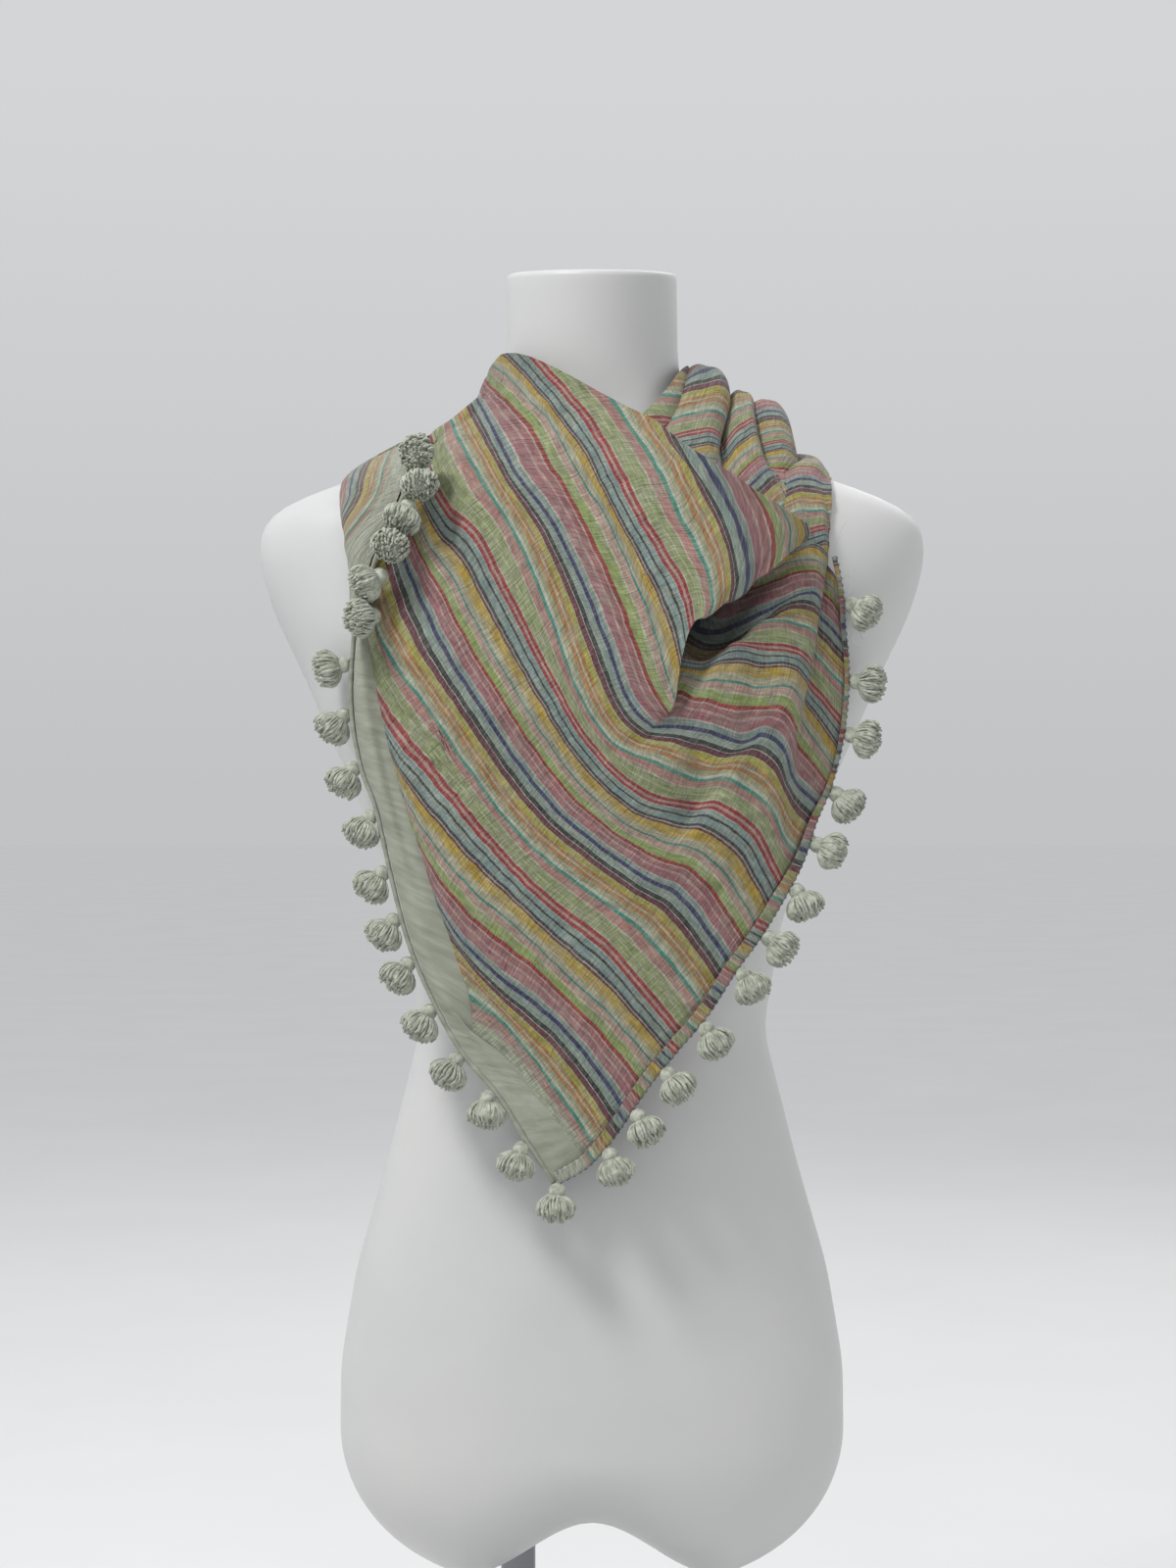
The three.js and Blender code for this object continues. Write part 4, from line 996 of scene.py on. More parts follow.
def makeFront(silk):
    count = round((upperRows[-1]["at"] - lowerRows[0]["at"]) / frontCut["rowStep"])
    places = [lowerRows[0]["at"] + frontCut["rowStep"] * k for k in range(count + 1)]
    points = [[onFront(*point) for point in frontRow(at)] for at in places]
    weave = []
    for at, line in zip(places, points):
        gone = alongOf(line)
        weave.append([(at, frontCut["hemAt"] + g - gone[-1]) for g in gone])
    points = roundCrest(rippled(creased(points, frontCreases), weave, frontCut["ripple"]), -1)
    # Painted shade for the hollow under the folded edge.
    paintedHollowShade = [paintedHollowShadeOf(at, line) for at, line in zip(places, points)]
    front = makeSheet("frontCloth", points, weave, clothThick, silk, paintedHollowShade)
    carried(front, "stripes", "front_fall", "cowl_front", "cowl_hollow", "right_drop", "right_hem_fall")
    print("front of the scarf", len(places), "rows")
    return front, places, points


# The plain border, turned out along the left edge.

sageTable = {
    "hem": [
        (-141, 828, 8), (-143.5, 798, 8), (-142.5, 771, 8), (-137, 744, 8), (-128, 720, 8),
        (-118.5, 679, 8), (-108.5, 642, 8), (-94.5, 609, 8), (-76.5, 577, 8), (-54.5, 551, 8),
        (-35.5, 521, 8), (-21, 499, 7)],
    "middle": [
        (-139, 828, 10), (-139, 800, 11), (-136, 774, 11), (-129, 744, 11), (-117, 706, 11),
        (-106, 668, 11), (-94, 630, 10), (-82, 600, 9), (-63, 575, 8), (-43, 549, 7), (-24, 520, 7),
        (-12, 505, 7)],
    "fold": [
        (-137, 828, 6), (-133, 812, 5), (-127, 779, 4.5), (-117, 743, 4), (-100.5, 695, 4),
        (-86, 655, 3.6), (-71, 613, 3.2), (-71, 586, 3.5), (-51, 572, 4), (-30, 546, 4.5), (-16, 528, 5),
        (-3.5, 510.5, 6)],
}
sageCreases = [
    {"path": [(-138, 812), (-136, 780), (-126, 734), (-116, 700)], "wide": 3.5, "high": 2.0},
    {"path": [(-130, 770), (-122, 736), (-112, 700), (-100, 654)], "wide": 3, "high": -2.0},
    {"path": [(-108, 668), (-96, 622), (-76, 588)], "wide": 4, "high": 2.0},
    {"path": [(-84, 602), (-66, 572), (-42, 546)], "wide": 4, "high": -1.8},
    {"path": [(-52, 562), (-34, 536), (-14, 512)], "wide": 4, "high": 1.2},
]
borderCut = {
    "bend": 7,  # the fold line meets the front cloth's first row at this row of the table
    "above": 70, "across": 12, "from": -0.1, "wide": 0.19, "hemAt": 20}


def makeSage(silk, firstRow):
    above, lower, steps = borderCut["above"], len(firstRow) - 1, borderCut["across"]
    bend = borderCut["bend"]
    cut = []
    for name in ("fold", "middle", "hem"):
        line = sageTable[name]
        cut.append(evenly(line[:bend + 1], above) + evenly(line[bend:], lower)[1:])
    columns = [evenly([line[k] for line in cut], steps) for k in range(above + lower + 1)]
    points = [[onFront(*column[j]) for column in columns] for j in range(steps + 1)]
    points[0][above:] = firstRow
    points = creased(points, sageCreases)
    points[0][above:] = firstRow
    gone = alongOf(points[0])
    weave = []
    for i in range(steps + 1):
        stripe = borderCut["from"] - borderCut["wide"] * i / steps
        weave.append([(stripe, borderCut["hemAt"] + g - gone[-1]) for g in gone])
    return simplePiece("sageBorder", points, weave, silk, "sage_border", "sage")


# The corner turned back over the left shoulder, wrong side out.

flapTable = {
    "fold": [
        (-148, 935, 5), (-153, 920, 6), (-153, 902, 6), (-150, 882, 7), (-147, 864, 8), (-146, 846, 8),
        (-144, 831, 8)],
    "outer": [
        (-143, 940, 8), (-149, 921, 10), (-150, 902, 11), (-147, 882, 12), (-145, 864, 11),
        (-144.5, 846, 10), (-143.5, 831, 10)],
    "middle": [
        (-132, 947, 10), (-135, 922, 14), (-139, 901, 15), (-139, 882, 15), (-140, 864, 14),
        (-142, 846, 12), (-142.5, 831, 11)],
    "hem": [
        (-109, 959, 11), (-110, 936, 15), (-115, 912, 15), (-125, 887, 15), (-133, 868, 14.5),
        (-138, 848, 13), (-140.5, 831, 12)],
}
flapCut = {"along": 60, "across": 36, "ripple": 0.7}
flapStripes = {  # the stripe at the fold's top, how far and where it runs off, and the hem's stripe
    "top": 0.49, "drop": 0.60, "dropFrom": 0.28, "dropOver": 0.34, "hem": -0.27}


def makeFlap(silk):
    stripes = flapStripes
    grid = gridOf(list(flapTable.values()), flapCut["along"], flapCut["across"])
    points = [[onFront(*p) for p in line] for line in grid]
    weave = []
    for i, line in enumerate(points):
        row = []
        for j, g in enumerate(alongOf(line)):
            run = eased((j / flapCut["along"] - stripes["dropFrom"]) / stripes["dropOver"])
            fold = stripes["top"] - stripes["drop"] * run
            row.append((fold + (stripes["hem"] - fold) * i / flapCut["across"], g))
        weave.append(row)
    points = rippled(points, weave, flapCut["ripple"])
    return simplePiece("shoulderFlap", points, weave, silk, "shoulder_flap", "reverse")


# The wrap over the back, from the neck down to its free edge.

backTable = {
    "neck": [(-56, 1001, 11), (-48, 1001, 11), (-30, 999, 11), (0, 998, 11), (24, 998, 12), (44, 995, 11)],
    "nape": [(-69, 991, 10.5), (-58, 984, 13), (-32, 976, 15), (0, 971, 15), (28, 974, 15), (58, 981, 18)],
    "yoke": [(-80, 973, 9), (-70, 957, 10), (-40, 942, 11), (0, 934, 12), (40, 941, 14), (84, 954, 18)],
    "blades": [
        (-104, 957, 7.5), (-90, 930, 9), (-48, 906, 11), (0, 894, 12), (54, 902, 13), (118, 923, 11)],
    "edge": [
        (-148, 932, 5), (-116, 898, 9), (-56, 868, 11), (0, 854, 12), (50, 856, 12), (100, 866, 12),
        (144, 884, 9)],
}
leftCrest = [(-56, 1001), (-68, 993), (-73, 981), (-90, 967), (-104, 957), (-132, 946), (-148, 934)]
backCreases = [
    {"path": [(-130, 940), (-90, 914), (-40, 890), (10, 880), (70, 886), (120, 900)], "wide": 7, "high": 4.0},
    {"path": [(-118, 948), (-70, 928), (-20, 912), (50, 918), (100, 924)], "wide": 6, "high": -3.4},
    {"path": [(-100, 960), (-56, 948), (0, 938), (48, 946)], "wide": 7, "high": 3.6},
    {"path": [(-86, 970), (-40, 962), (10, 956), (44, 962)], "wide": 5, "high": -2.6},
    {"path": [(-70, 990), (-30, 984), (20, 982)], "wide": 5, "high": 2.4},
    {"path": [(-96, 900), (-50, 876), (0, 864), (60, 868), (110, 880)], "wide": 5, "high": -2.8},
    {"path": [(124, 912), (96, 892), (60, 880)], "wide": 5, "high": 2.6},
    {"path": [(112, 930), (84, 912), (52, 902)], "wide": 5, "high": 2.2},
]
backCut = {
    "along": 96, "across": 44, "ripple": 0.9,
    "clear": 1, "clearStep": 0.08}  # mm further off the form, away from the wrap's left end, and how soon
backStripes = {"first": 2.62, "last": 1.55, "start": 3.0, "slant": 0.25}


def makeBack(silk):
    grid = gridOf(list(backTable.values()), backCut["along"], backCut["across"])
    for line, (x, z) in zip(grid, evenly(leftCrest, backCut["across"])):
        shift = (x - line[0][0], z - line[0][1])
        for j in range(crest["blend"]):
            keep = (1 - j / crest["blend"]) ** 2
            line[j][0] += shift[0] * keep
            line[j][1] += shift[1] * keep
    points = []
    for line in grid:
        row = []
        for j, (x, z, off) in enumerate(line):
            clear = min(backCut["clearStep"] * j, backCut["clear"])
            row.append(Vector((x, drape(x, z, off, 1) + clear, z)))
        points.append(row)
    points = creased(points, backCreases)
    weave = weaveOver(points, backStripes)
    points = roundCrest(rippled(points, weave, backCut["ripple"]), 1)
    return simplePiece("backWrap", points, weave, silk, "back_wrap", "stripes")


# The turn round the right of the neck, each point (x, y, z).

collarTable = {
    "top": [
        (25, -71, 955), (44, -58, 976), (54, -38, 991), (60, -14, 999), (61.5, 8, 1001), (58, 26, 1002),
        (46, 43, 1001), (28, 49, 1000)],
    "middle": [
        (27, -76, 950), (47, -63, 968), (57, -41, 983), (62, -14, 992), (63.5, 8, 996), (60, 28, 998),
        (48, 45, 995), (29, 51, 992)],
    "low": [
        (30, -79, 944), (48, -66, 957), (58, -44, 970), (62.5, -14, 980), (64, 8, 984), (61, 30, 986),
        (49, 49, 985), (30, 53, 983)],
}
collarCut = {"along": 50, "across": 10, "stripe": 4.0, "stripeAt": 974, "repeat": 95}


def makeCollar(silk):
    grid = gridOf(list(collarTable.values()), collarCut["along"], collarCut["across"])
    points = [[Vector(p) for p in line] for line in grid]
    weave = []
    for line in points:
        stripes = [collarCut["stripe"] + (p.z - collarCut["stripeAt"]) / collarCut["repeat"] for p in line]
        weave.append(list(zip(stripes, alongOf(line))))
    return simplePiece("neckCollar", points, weave, silk, "neck_collar", "stripes")


# The turned-in edge behind the fold: each row stands so far behind the fold's edge and below it.

facingRows = ((0.9, 0.4), (3.2, 1.5), (5.0, 6.0), (5.6, 13), (5.8, 20))
facingCut = {
    "from": 2.62, "lean": 0.12, "thick": 0.5, "alongAt": 5, "alongStep": 0.05,
    "narrowFrom": 3.2, "narrowOver": 0.45, "narrow": 0.92}  # where it narrows towards its right end


def makeFacing(silk, places, points):
    chosen = [k for k, at in enumerate(places) if at > facingCut["from"]]
    edge = [points[k][0] for k in chosen]
    rows = []
    for back, down in facingRows:
        row = []
        for k, p in zip(chosen, edge):
            past = (places[k] - facingCut["narrowFrom"]) / facingCut["narrowOver"]
            keep = 1 - facingCut["narrow"] * min(max(past, 0), 1)
            row.append(p + Vector((-facingCut["lean"] * down * keep, back, -down * keep)))
        rows.append(row)
    weave = []
    for i in range(len(rows)):
        weave.append([(places[k], facingCut["alongAt"] + facingCut["alongStep"] * i) for k in chosen])
    return simplePiece("cowlFacing", rows, weave, silk, "cowl_facing", "reverse", facingCut["thick"])


# The four pleats over the right shoulder, each along its ridge from behind, over the top and down in
# front. A row is the ridge (x, y, z), the pleat's width and height there, its lean and its stripe.
pleatTable = {
    "pleatOuter": {"node": "shoulder_pleat_outer", "roll": 22, "slant": 0.5, "ridge": [
        (130, 77, 886, 30, 6, -82, 5.8), (130, 60, 919, 34, 10, -55, 5.45),
        (132, 32, 938, 37, 12, -24, 5.15), (136, 0, 943, 31, 13, 0, 4.9),
        (140, -32, 937, 25, 13, 26, 4.62), (134, -62, 925, 29, 12, 52, 4.4),
        (132, -87, 898, 31, 11, 74, 3.96), (131.5, -93.5, 870, 28, 9, 84, 3.6)]},
    "pleatThird": {"node": "shoulder_pleat_third", "roll": 18, "slant": 0.1, "ridge": [
        (109, 80, 888, 28, 6, -82, 5.57), (112, 65, 935, 28, 13, -55, 5.1),
        (113, 34, 968, 31, 25, -28, 4.8), (114, 0, 979, 34, 30, 0, 4.52),
        (116, -28, 967, 33, 28, 28, 4.3), (119, -53, 938, 27, 18, 52, 3.62),
        (117, -59, 920, 18, 8, 66, 3.4), (116, -62, 906, 12, 6, 72, 3.3)]},
    "pleatSecond": {"node": "shoulder_pleat_second", "roll": 8, "slant": 1.0, "ridge": [
        (85, 83, 893, 28, 6, -82, 5.62), (89, 65, 947, 29, 13, -55, 5.03),
        (93, 34, 976, 26, 18, -28, 4.63), (96, 0, 986, 20, 20, 0, 4.3), (94, -34, 971, 22, 19, 32, 4.0),
        (95, -64, 940, 29, 17, 55, 3.6), (101, -84, 910, 42, 12, 66, 3.22),
        (104, -95, 884, 44, 8, 78, 2.9)]},
    "pleatFirst": {"node": "shoulder_pleat_first", "roll": 8, "slant": 0.65, "ridge": [
        (60, 85, 900, 31, 6, -82, 5.82), (67, 64, 966, 30, 14, -55, 5.12),
        (72, 34, 992, 28, 20, -28, 4.75), (73, 0, 1002, 32, 22, 0, 4.42),
        (71, -34, 989, 36, 19, 30, 4.28), (62, -62, 962, 41, 15, 52, 3.99),
        (58, -82, 938, 40, 10, 64, 3.68), (52, -96, 914, 40, 7, 74, 3.4)]},
}
pleatCut = {
    "along": 110, "around": 30,
    "top": 0.72,  # how flat a pleat's top is: 1 is round, less is flatter
    "ripple": 1.7, "rippleAcross": 0.17, "rippleAlong": 0.03, "rippleApart": 9, "rippleSeed": 4.0,
    "margin": 2, "step": 0.4,  # how far a pleat keeps off the form, and the steps that bring it there
    "neckFoot": 962,  # above this a pleat is kept off the form sideways, not upward
    "alongAt": 8}


def makePleat(name, pleat, silk):
    along, around = pleatCut["along"], pleatCut["around"]
    stations = evenly(pleat["ridge"], along, 3)
    spots = [Vector(row[:3]) for row in stations]
    sideways = math.sin(math.radians(pleat["roll"]))
    points, weave = [], []
    for k, (_, _, _, wide, high, tip, at) in enumerate(stations):
        lean = math.radians(tip)
        forward = spots[min(k + 1, along)] - spots[max(k - 1, 0)]
        across = Vector((sideways, -math.sin(lean), math.cos(lean))).cross(forward).normalized()
        up = forward.cross(across).normalized()
        arch = []
        for j in range(around + 1):
            turn = math.pi * (j / around - 0.5)
            seed = (j * pleatCut["rippleAcross"] + pleatCut["rippleApart"] * pleat["roll"],
                    k * pleatCut["rippleAlong"], pleatCut["rippleSeed"])
            wave = pleatCut["ripple"] * noise.noise(Vector(seed))
            rise = high * (max(math.cos(turn), 0) ** pleatCut["top"] - 1) + wave
            p = spots[k] - across * (wide / 2 * math.sin(turn)) + up * rise
            arch.append(keptOff(p, up))
        points.append(arch)
        sloped = [at - pleat["slant"] * (p.x - spots[k].x) / repeatSize for p in arch]
        weave.append([(u, pleatCut["alongAt"] + g) for u, g in zip(sloped, alongOf(arch))])
    return simplePiece(name, points, weave, silk, pleat["node"], "stripes")


def keptOff(p, up):
    away = up if p.z < pleatCut["neckFoot"] else Vector((p.x, p.y, 0)).normalized()
    while insideForm(p, pleatCut["margin"]):
        p = p + away * pleatCut["step"]
    return p


# The dress form: a ball whose rings are moved down over a cap, a lip, the sections and two leg stumps.

legs = {"from": 330, "low": 228, "crotch": 273, "middle": 88, "round": 0.75}
neckCap = {"tilt": 0.14, "tiltFrom": 20, "tiltFade": 12, "lip": 2.5, "dish": 0.8, "inner": 0.93}
rings = {"around": 112, "down": 168, "capEnd": 0.05, "lipEnd": 0.07, "hipEnd": 0.80}  # as shares of all
blur = {"shifts": (-12, -8, -4, 0, 4, 8, 12), "below": 1000}  # heights over which a section is averaged


def makeForm(plastic):
    bpy.ops.object.select_all(action="DESELECT")
    bpy.ops.mesh.primitive_uv_sphere_add(segments=rings["around"], ring_count=rings["down"], radius=1)
    form = bpy.context.object
    form.name = "dressForm"
    for vertex in form.data.vertices:
        x, y, z = vertex.co
        turn = math.atan2(y, x)
        share = math.acos(min(max(z, -1), 1)) / math.pi
        vertex.co = formPoint(share, turn) * mm
    bpy.ops.object.shade_smooth()
    form.data.materials.append(plastic)
    carried(form, "form", "dress_form")
    print("dress form")
    return form


def formPoint(share, turn):
    capEnd, lipEnd, hipEnd = rings["capEnd"], rings["lipEnd"], rings["hipEnd"]
    inner, lip = neckCap["inner"], neckCap["lip"]
    shrink, tilt, bend = 1, 1, 0
    if share < capEnd:
        shrink = inner * share / capEnd
        z = sectionTop - lip * (1 - (share / capEnd) ** 4) * neckCap["dish"]
    elif share < lipEnd:
        turned = (share - capEnd) / (lipEnd - capEnd) * math.pi / 2
        shrink = inner + (1 - inner) * math.sin(turned)
        z = sectionTop - lip * (1 - math.cos(turned))
    elif share < hipEnd:
        down = (share - lipEnd) / (hipEnd - lipEnd)
        top = sectionTop - lip
        z = top + (legs["from"] - top) * down
        tilt = max(0, 1 - down * neckCap["tiltFade"])
    else:
        bend = (share - hipEnd) / (1 - hipEnd) * math.pi / 2
        z = legs["from"]
        shrink, tilt = max(math.cos(bend), 0) ** legs["round"], 0
    half, front, back, square = smoothSection(z)
    reach = back if math.sin(turn) > 0 else front
    cosine, sine = math.cos(turn), math.sin(turn)
    x = half * math.copysign(abs(cosine) ** (2 / square), cosine) * shrink
    y = reach * math.copysign(abs(sine) ** (2 / square), sine) * shrink
    z += neckCap["tilt"] * (y - neckCap["tiltFrom"]) * tilt
    return Vector((x, y, z - math.sin(bend) * legDrop(x)))


def smoothSection(z):
    total = [0.0] * 4
    shifts = blur["shifts"] if z < blur["below"] else (0,)
    for shift in shifts:
        total = [a + b / len(shifts) for a, b in zip(total, sectionAt(z + shift))]
    return total


def legDrop(x):
    rise = eased(abs(x) / legs["middle"])
    return legs["from"] - legs["crotch"] + (legs["crotch"] - legs["low"]) * rise


def dressStand(steel):
    for node in ("stand_base", "stand_pole"):
        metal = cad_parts[node]
        metal.data.materials.clear()
        metal.data.materials.append(steel)


# Tubes, and the lines that hems and tassels follow.

leftHemLine = sageTable["hem"][::-1]
rightHemLine = [
    (-19, 498, 9), (-8, 504, 9), (1, 511, 10), (15, 528, 10.5), (34, 556, 10.5), (51, 577, 10.5),
    (69, 598, 10.5), (86, 624, 10.5), (101, 644, 10.5), (116, 668, 10.5), (127, 689, 12), (135, 712, 11),
    (144, 732, 9), (151, 757, 9), (155, 788, 9), (155, 810, 9), (153, 829, 9), (151, 852, 11),
    (147, 872, 12.5)]
flapHemLine = [
    (-110, 958, 11), (-110, 936, 16), (-115, 912, 16), (-125, 887, 16), (-133, 868, 15), (-138, 848, 13),
    (-140, 831, 12)]


# The same line moved sideways, as seen from the front, and further off the form.
def besides(line, side, extra=0.0):
    moved = []
    for k, (x, z, off) in enumerate(line):
        before, after = line[max(k - 1, 0)], line[min(k + 1, len(line) - 1)]
        run, rise = after[0] - before[0], after[1] - before[1]
        reach = side / math.hypot(run, rise)
        moved.append((x + rise * reach, z - run * reach, off + extra))
    return moved


def linkMesh(name, points, faces, material):
    mesh = bpy.data.meshes.new(name)
    mesh.from_pydata([tuple(p * mm) for p in points], [], faces)
    mesh.materials.append(material)
    mesh.shade_smooth()
    obj = bpy.data.objects.new(name, mesh)
    bpy.context.scene.collection.objects.link(obj)
    return obj


# Adds a tube with closed ends to a list of points and a list of faces.
def addTube(points, faces, path, radii, sides):
    start = len(points)
    ahead = (path[1] - path[0]).normalized()
    side = ahead.orthogonal().normalized()
    for k, spot in enumerate(path):
        ahead = (path[min(k + 1, len(path) - 1)] - path[max(k - 1, 0)]).normalized()
        side = (side - ahead * side.dot(ahead)).normalized()
        other = ahead.cross(side)
        for j in range(sides):
            turn = 2 * math.pi * j / sides
            points.append(spot + (side * math.cos(turn) + other * math.sin(turn)) * radii[k])
    for a, b in ringPairs(start, len(path) - 1, sides):
        faces.append((a, b, b + sides, a + sides))
    faces.append(tuple(start + j for j in range(sides))[::-1])
    last = start + (len(path) - 1) * sides
    faces.append(tuple(last + j for j in range(sides)))


# Each point of the rings and its neighbour round the same ring.
def ringPairs(start, rows, sides):
    for k in range(rows):
        for j in range(sides):
            yield start + k * sides + j, start + k * sides + (j + 1) % sides


# The hems: two rolled cords, and a flat band along the right edge with its stitches and loose threads.

rolledHem = {"radius": 1.5, "swell": 0.16, "swellStep": 0.35, "off": -0.75, "sides": 10, "weave": 10}
rolledHems = {
    "leftHem": {"line": leftHemLine, "side": -1.9, "steps": 160, "seed": 4.0, "node": "left_hem"},
    "flapHem": {"line": flapHemLine, "side": -2.7, "steps": 60, "seed": 9.0, "node": "flap_hem"},
}


def makeRolledHem(name, sage):
    cord = rolledHems[name]
    path = [onFront(*p) for p in evenly(besides(cord["line"], cord["side"], rolledHem["off"]), cord["steps"])]
    points, faces, radii = [], [], []
    for k in range(cord["steps"] + 1):
        swell = noise.noise(Vector((k * rolledHem["swellStep"], cord["seed"], 0)))
        radii.append(rolledHem["radius"] * (1.0 + rolledHem["swell"] * swell))
    addTube(points, faces, path, radii, rolledHem["sides"])
    obj = linkMesh(name, points, faces, sage)
    weaveAlong(obj)
    return carried(obj, "sage", cord["node"])


def weaveAlong(obj):
    layer = obj.data.uv_layers.new(name="weave")
    scale = rolledHem["weave"]
    for corner in obj.data.loops:
        spot = obj.data.vertices[corner.vertex_index].co
        layer.data[corner.index].uv = (spot.x * scale + spot.y * scale, spot.z * scale)


flatHem = {
    "wide": 8, "narrow": 3.2, "narrowFrom": 0.5, "narrowOver": 0.2, "raise": 2.0, "sink": 1.2, "thick": 1.2,
    "steps": 200, "ruffle": 0.35, "ruffleStep": 0.22, "alongAt": 31, "alongStep": 0.01}
# The band's rounded section: how far across, and how high.
rolls = (
    (0.0, 0.0), (0.04, 0.55), (0.12, 0.85), (0.3, 0.95), (0.5, 0.9), (0.7, 1.0), (0.88, 0.85), (0.97, 0.5),
    (1, 0))


def makeRightHem(silk):
    steps = flatHem["steps"]
    wide = evenly(besides(rightHemLine, -flatHem["wide"], flatHem["raise"]), steps)
    outer = evenly(besides(rightHemLine, 0, flatHem["raise"]), steps)
    inner = []
    for k, (a, b) in enumerate(zip(wide, outer)):
        past = min(max((k / steps - flatHem["narrowFrom"]) / flatHem["narrowOver"], 0), 1)
        keep = 1 - (1 - flatHem["narrow"] / flatHem["wide"]) * past
        inner.append([q + (p - q) * keep for p, q in zip(a, b)])
    points, weave = [], []
    for share, rise in rolls:
        line = []
        for k, (a, b) in enumerate(zip(inner, outer)):
            x, z, off = (p + (q - p) * share for p, q in zip(a, b))
            ruffle = flatHem["ruffle"] * noise.noise(Vector((k * flatHem["ruffleStep"], share * 3, 2.0)))
            line.append(onFront(x, z, off - flatHem["sink"] + rise + ruffle * rise))
        points.append(line)
    gone = alongOf([onFront(*p) for p in outer])
    for i in range(len(rolls)):
        start = flatHem["alongAt"] + flatHem["alongStep"] * i
        weave.append([(hemStripe(k / steps), start + g) for k, g in enumerate(gone)])
    band = makeSheet("rightHem", points, weave, flatHem["thick"], silk)
    return carried(band, "stripes", "right_hem"), inner, outer


# The stripe that meets the right hem at each share of its length.
hemStripes = [
    (0.0, -0.29), (0.036, -0.12), (0.056, 0.0), (0.13, 0.35), (0.166, 0.49), (0.19, 0.59), (0.218, 0.7),
    (0.25, 0.84), (0.285, 1.0), (0.35, 1.35), (0.45, 1.8), (0.5, 2.0), (0.58, 2.35), (0.66, 2.59),
    (0.76, 2.86), (0.85, 3.17), (0.93, 3.43), (1.0, 3.74)]


def hemStripe(share):
    for (a, low), (b, high) in zip(hemStripes, hemStripes[1:]):
        if share <= b:
            return low + (high - low) * (share - a) / (b - a)
    return hemStripes[-1][1]


stitchRows = {
    "hemStitchInner": {"raise": 0.3, "length": 2.4, "gap": 1.5, "radius": 0.2},
    "hemStitchOuter": {"raise": 0.0, "length": 2.0, "gap": 2.2, "radius": 0.24},
}
stitchShape = {"ends": 0.25, "rise": 0.7, "taper": 0.7, "sides": 5}
stitchOut = {"front": (0.35, -1, 0.15), "back": (0, 1, 0.2)}  # the way out of the cloth on either side


# Short sewn threads along a line, each sunk at both ends.
def makeStitches(name, line, thread):
    row = stitchRows[name]
    path = [onFront(x, z, off + row["raise"]) for x, z, off in line[::2]]
    length, radius = row["length"], row["radius"]
    thin = radius * stitchShape["taper"]
    points, faces = [], []
    gone = 0.0
    for p, q in zip(path, path[1:]):
        run = (q - p).length
        while gone < run:
            start = p + (q - p) * (gone / run)
            way = (q - p).normalized()
            out = outFromForm(start)
            bow = out * radius * stitchShape["rise"]
            first, second = length * stitchShape["ends"], length * (1 - stitchShape["ends"])
            stitch = [start - out * radius, start + way * first + bow, start + way * second + bow,
                      start + way * length - out * radius]
            addTube(points, faces, stitch, (thin, radius, radius, thin), stitchShape["sides"])
            gone += length + row["gap"]
        gone -= run
    obj = linkMesh(name, points, faces, thread)
    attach(obj, "root")
    return obj


def outFromForm(p):
    across, forward, up = stitchOut["front"]
    way = (p.x * across, forward, up) if p.y < 0 else stitchOut["back"]
    return Vector(way).normalized()


looseThread = {
    "from": [
        (146, 880, 14), (149, 868, 13), (151, 858, 12), (152.5, 846, 11), (153.5, 838, 11), (154, 826, 11)],
    "each": 2, "steps": 9, "turn": 0.55, "step": (1.0, 1.9), "radius": 0.16, "sides": 5}


def makeLooseThreads(thread):
    points, faces = [], []
    for start in looseThread["from"]:
        for _ in range(looseThread["each"]):
            way = Vector((random.uniform(0.3, 1), random.uniform(-0.6, 0.1), 0.3))
            path = [onFront(*start)]
            for _ in range(looseThread["steps"]):
                turn = Vector((random.uniform(-1, 1), random.uniform(-0.6, 0.6), random.uniform(-1, 1)))
                way = (way.normalized() + turn * looseThread["turn"]).normalized()
                path.append(path[-1] + way * random.uniform(*looseThread["step"]))
            addTube(points, faces, path, [looseThread["radius"]] * len(path), looseThread["sides"])
    obj = linkMesh("looseThreads", points, faces, thread)
    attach(obj, "root")
    return obj


# The tassels: a root, a head, a wound ring, a core and rings of strands that bell out below.

tassel = {
    "head": 5.1, "neck": 3.6, "bell": 11.2,  # radii
    "bellAt": 0.72, "bellPower": 0.75,  # how far down the bell is widest, and how full it is
    "skirt": 17.8, "from": 1.6, "squash": (0.74, 1.0)}
strand = {
    "radius": 0.72, "wide": (0.93, 1.06), "long": (0.83, 1.09), "shorter": 0.24, "sway": 2.3, "wave": 0.5,
    "waves": 7, "tuck": 0.10, "thick": (0.85, 1.15), "at": (0, 0.14, 0.32, 0.52, 0.76, 1.0),
    "radii": (0.7, 0.9, 1.0, 1.1, 1.2, 0.9), "sides": 5, "spread": 0.45}
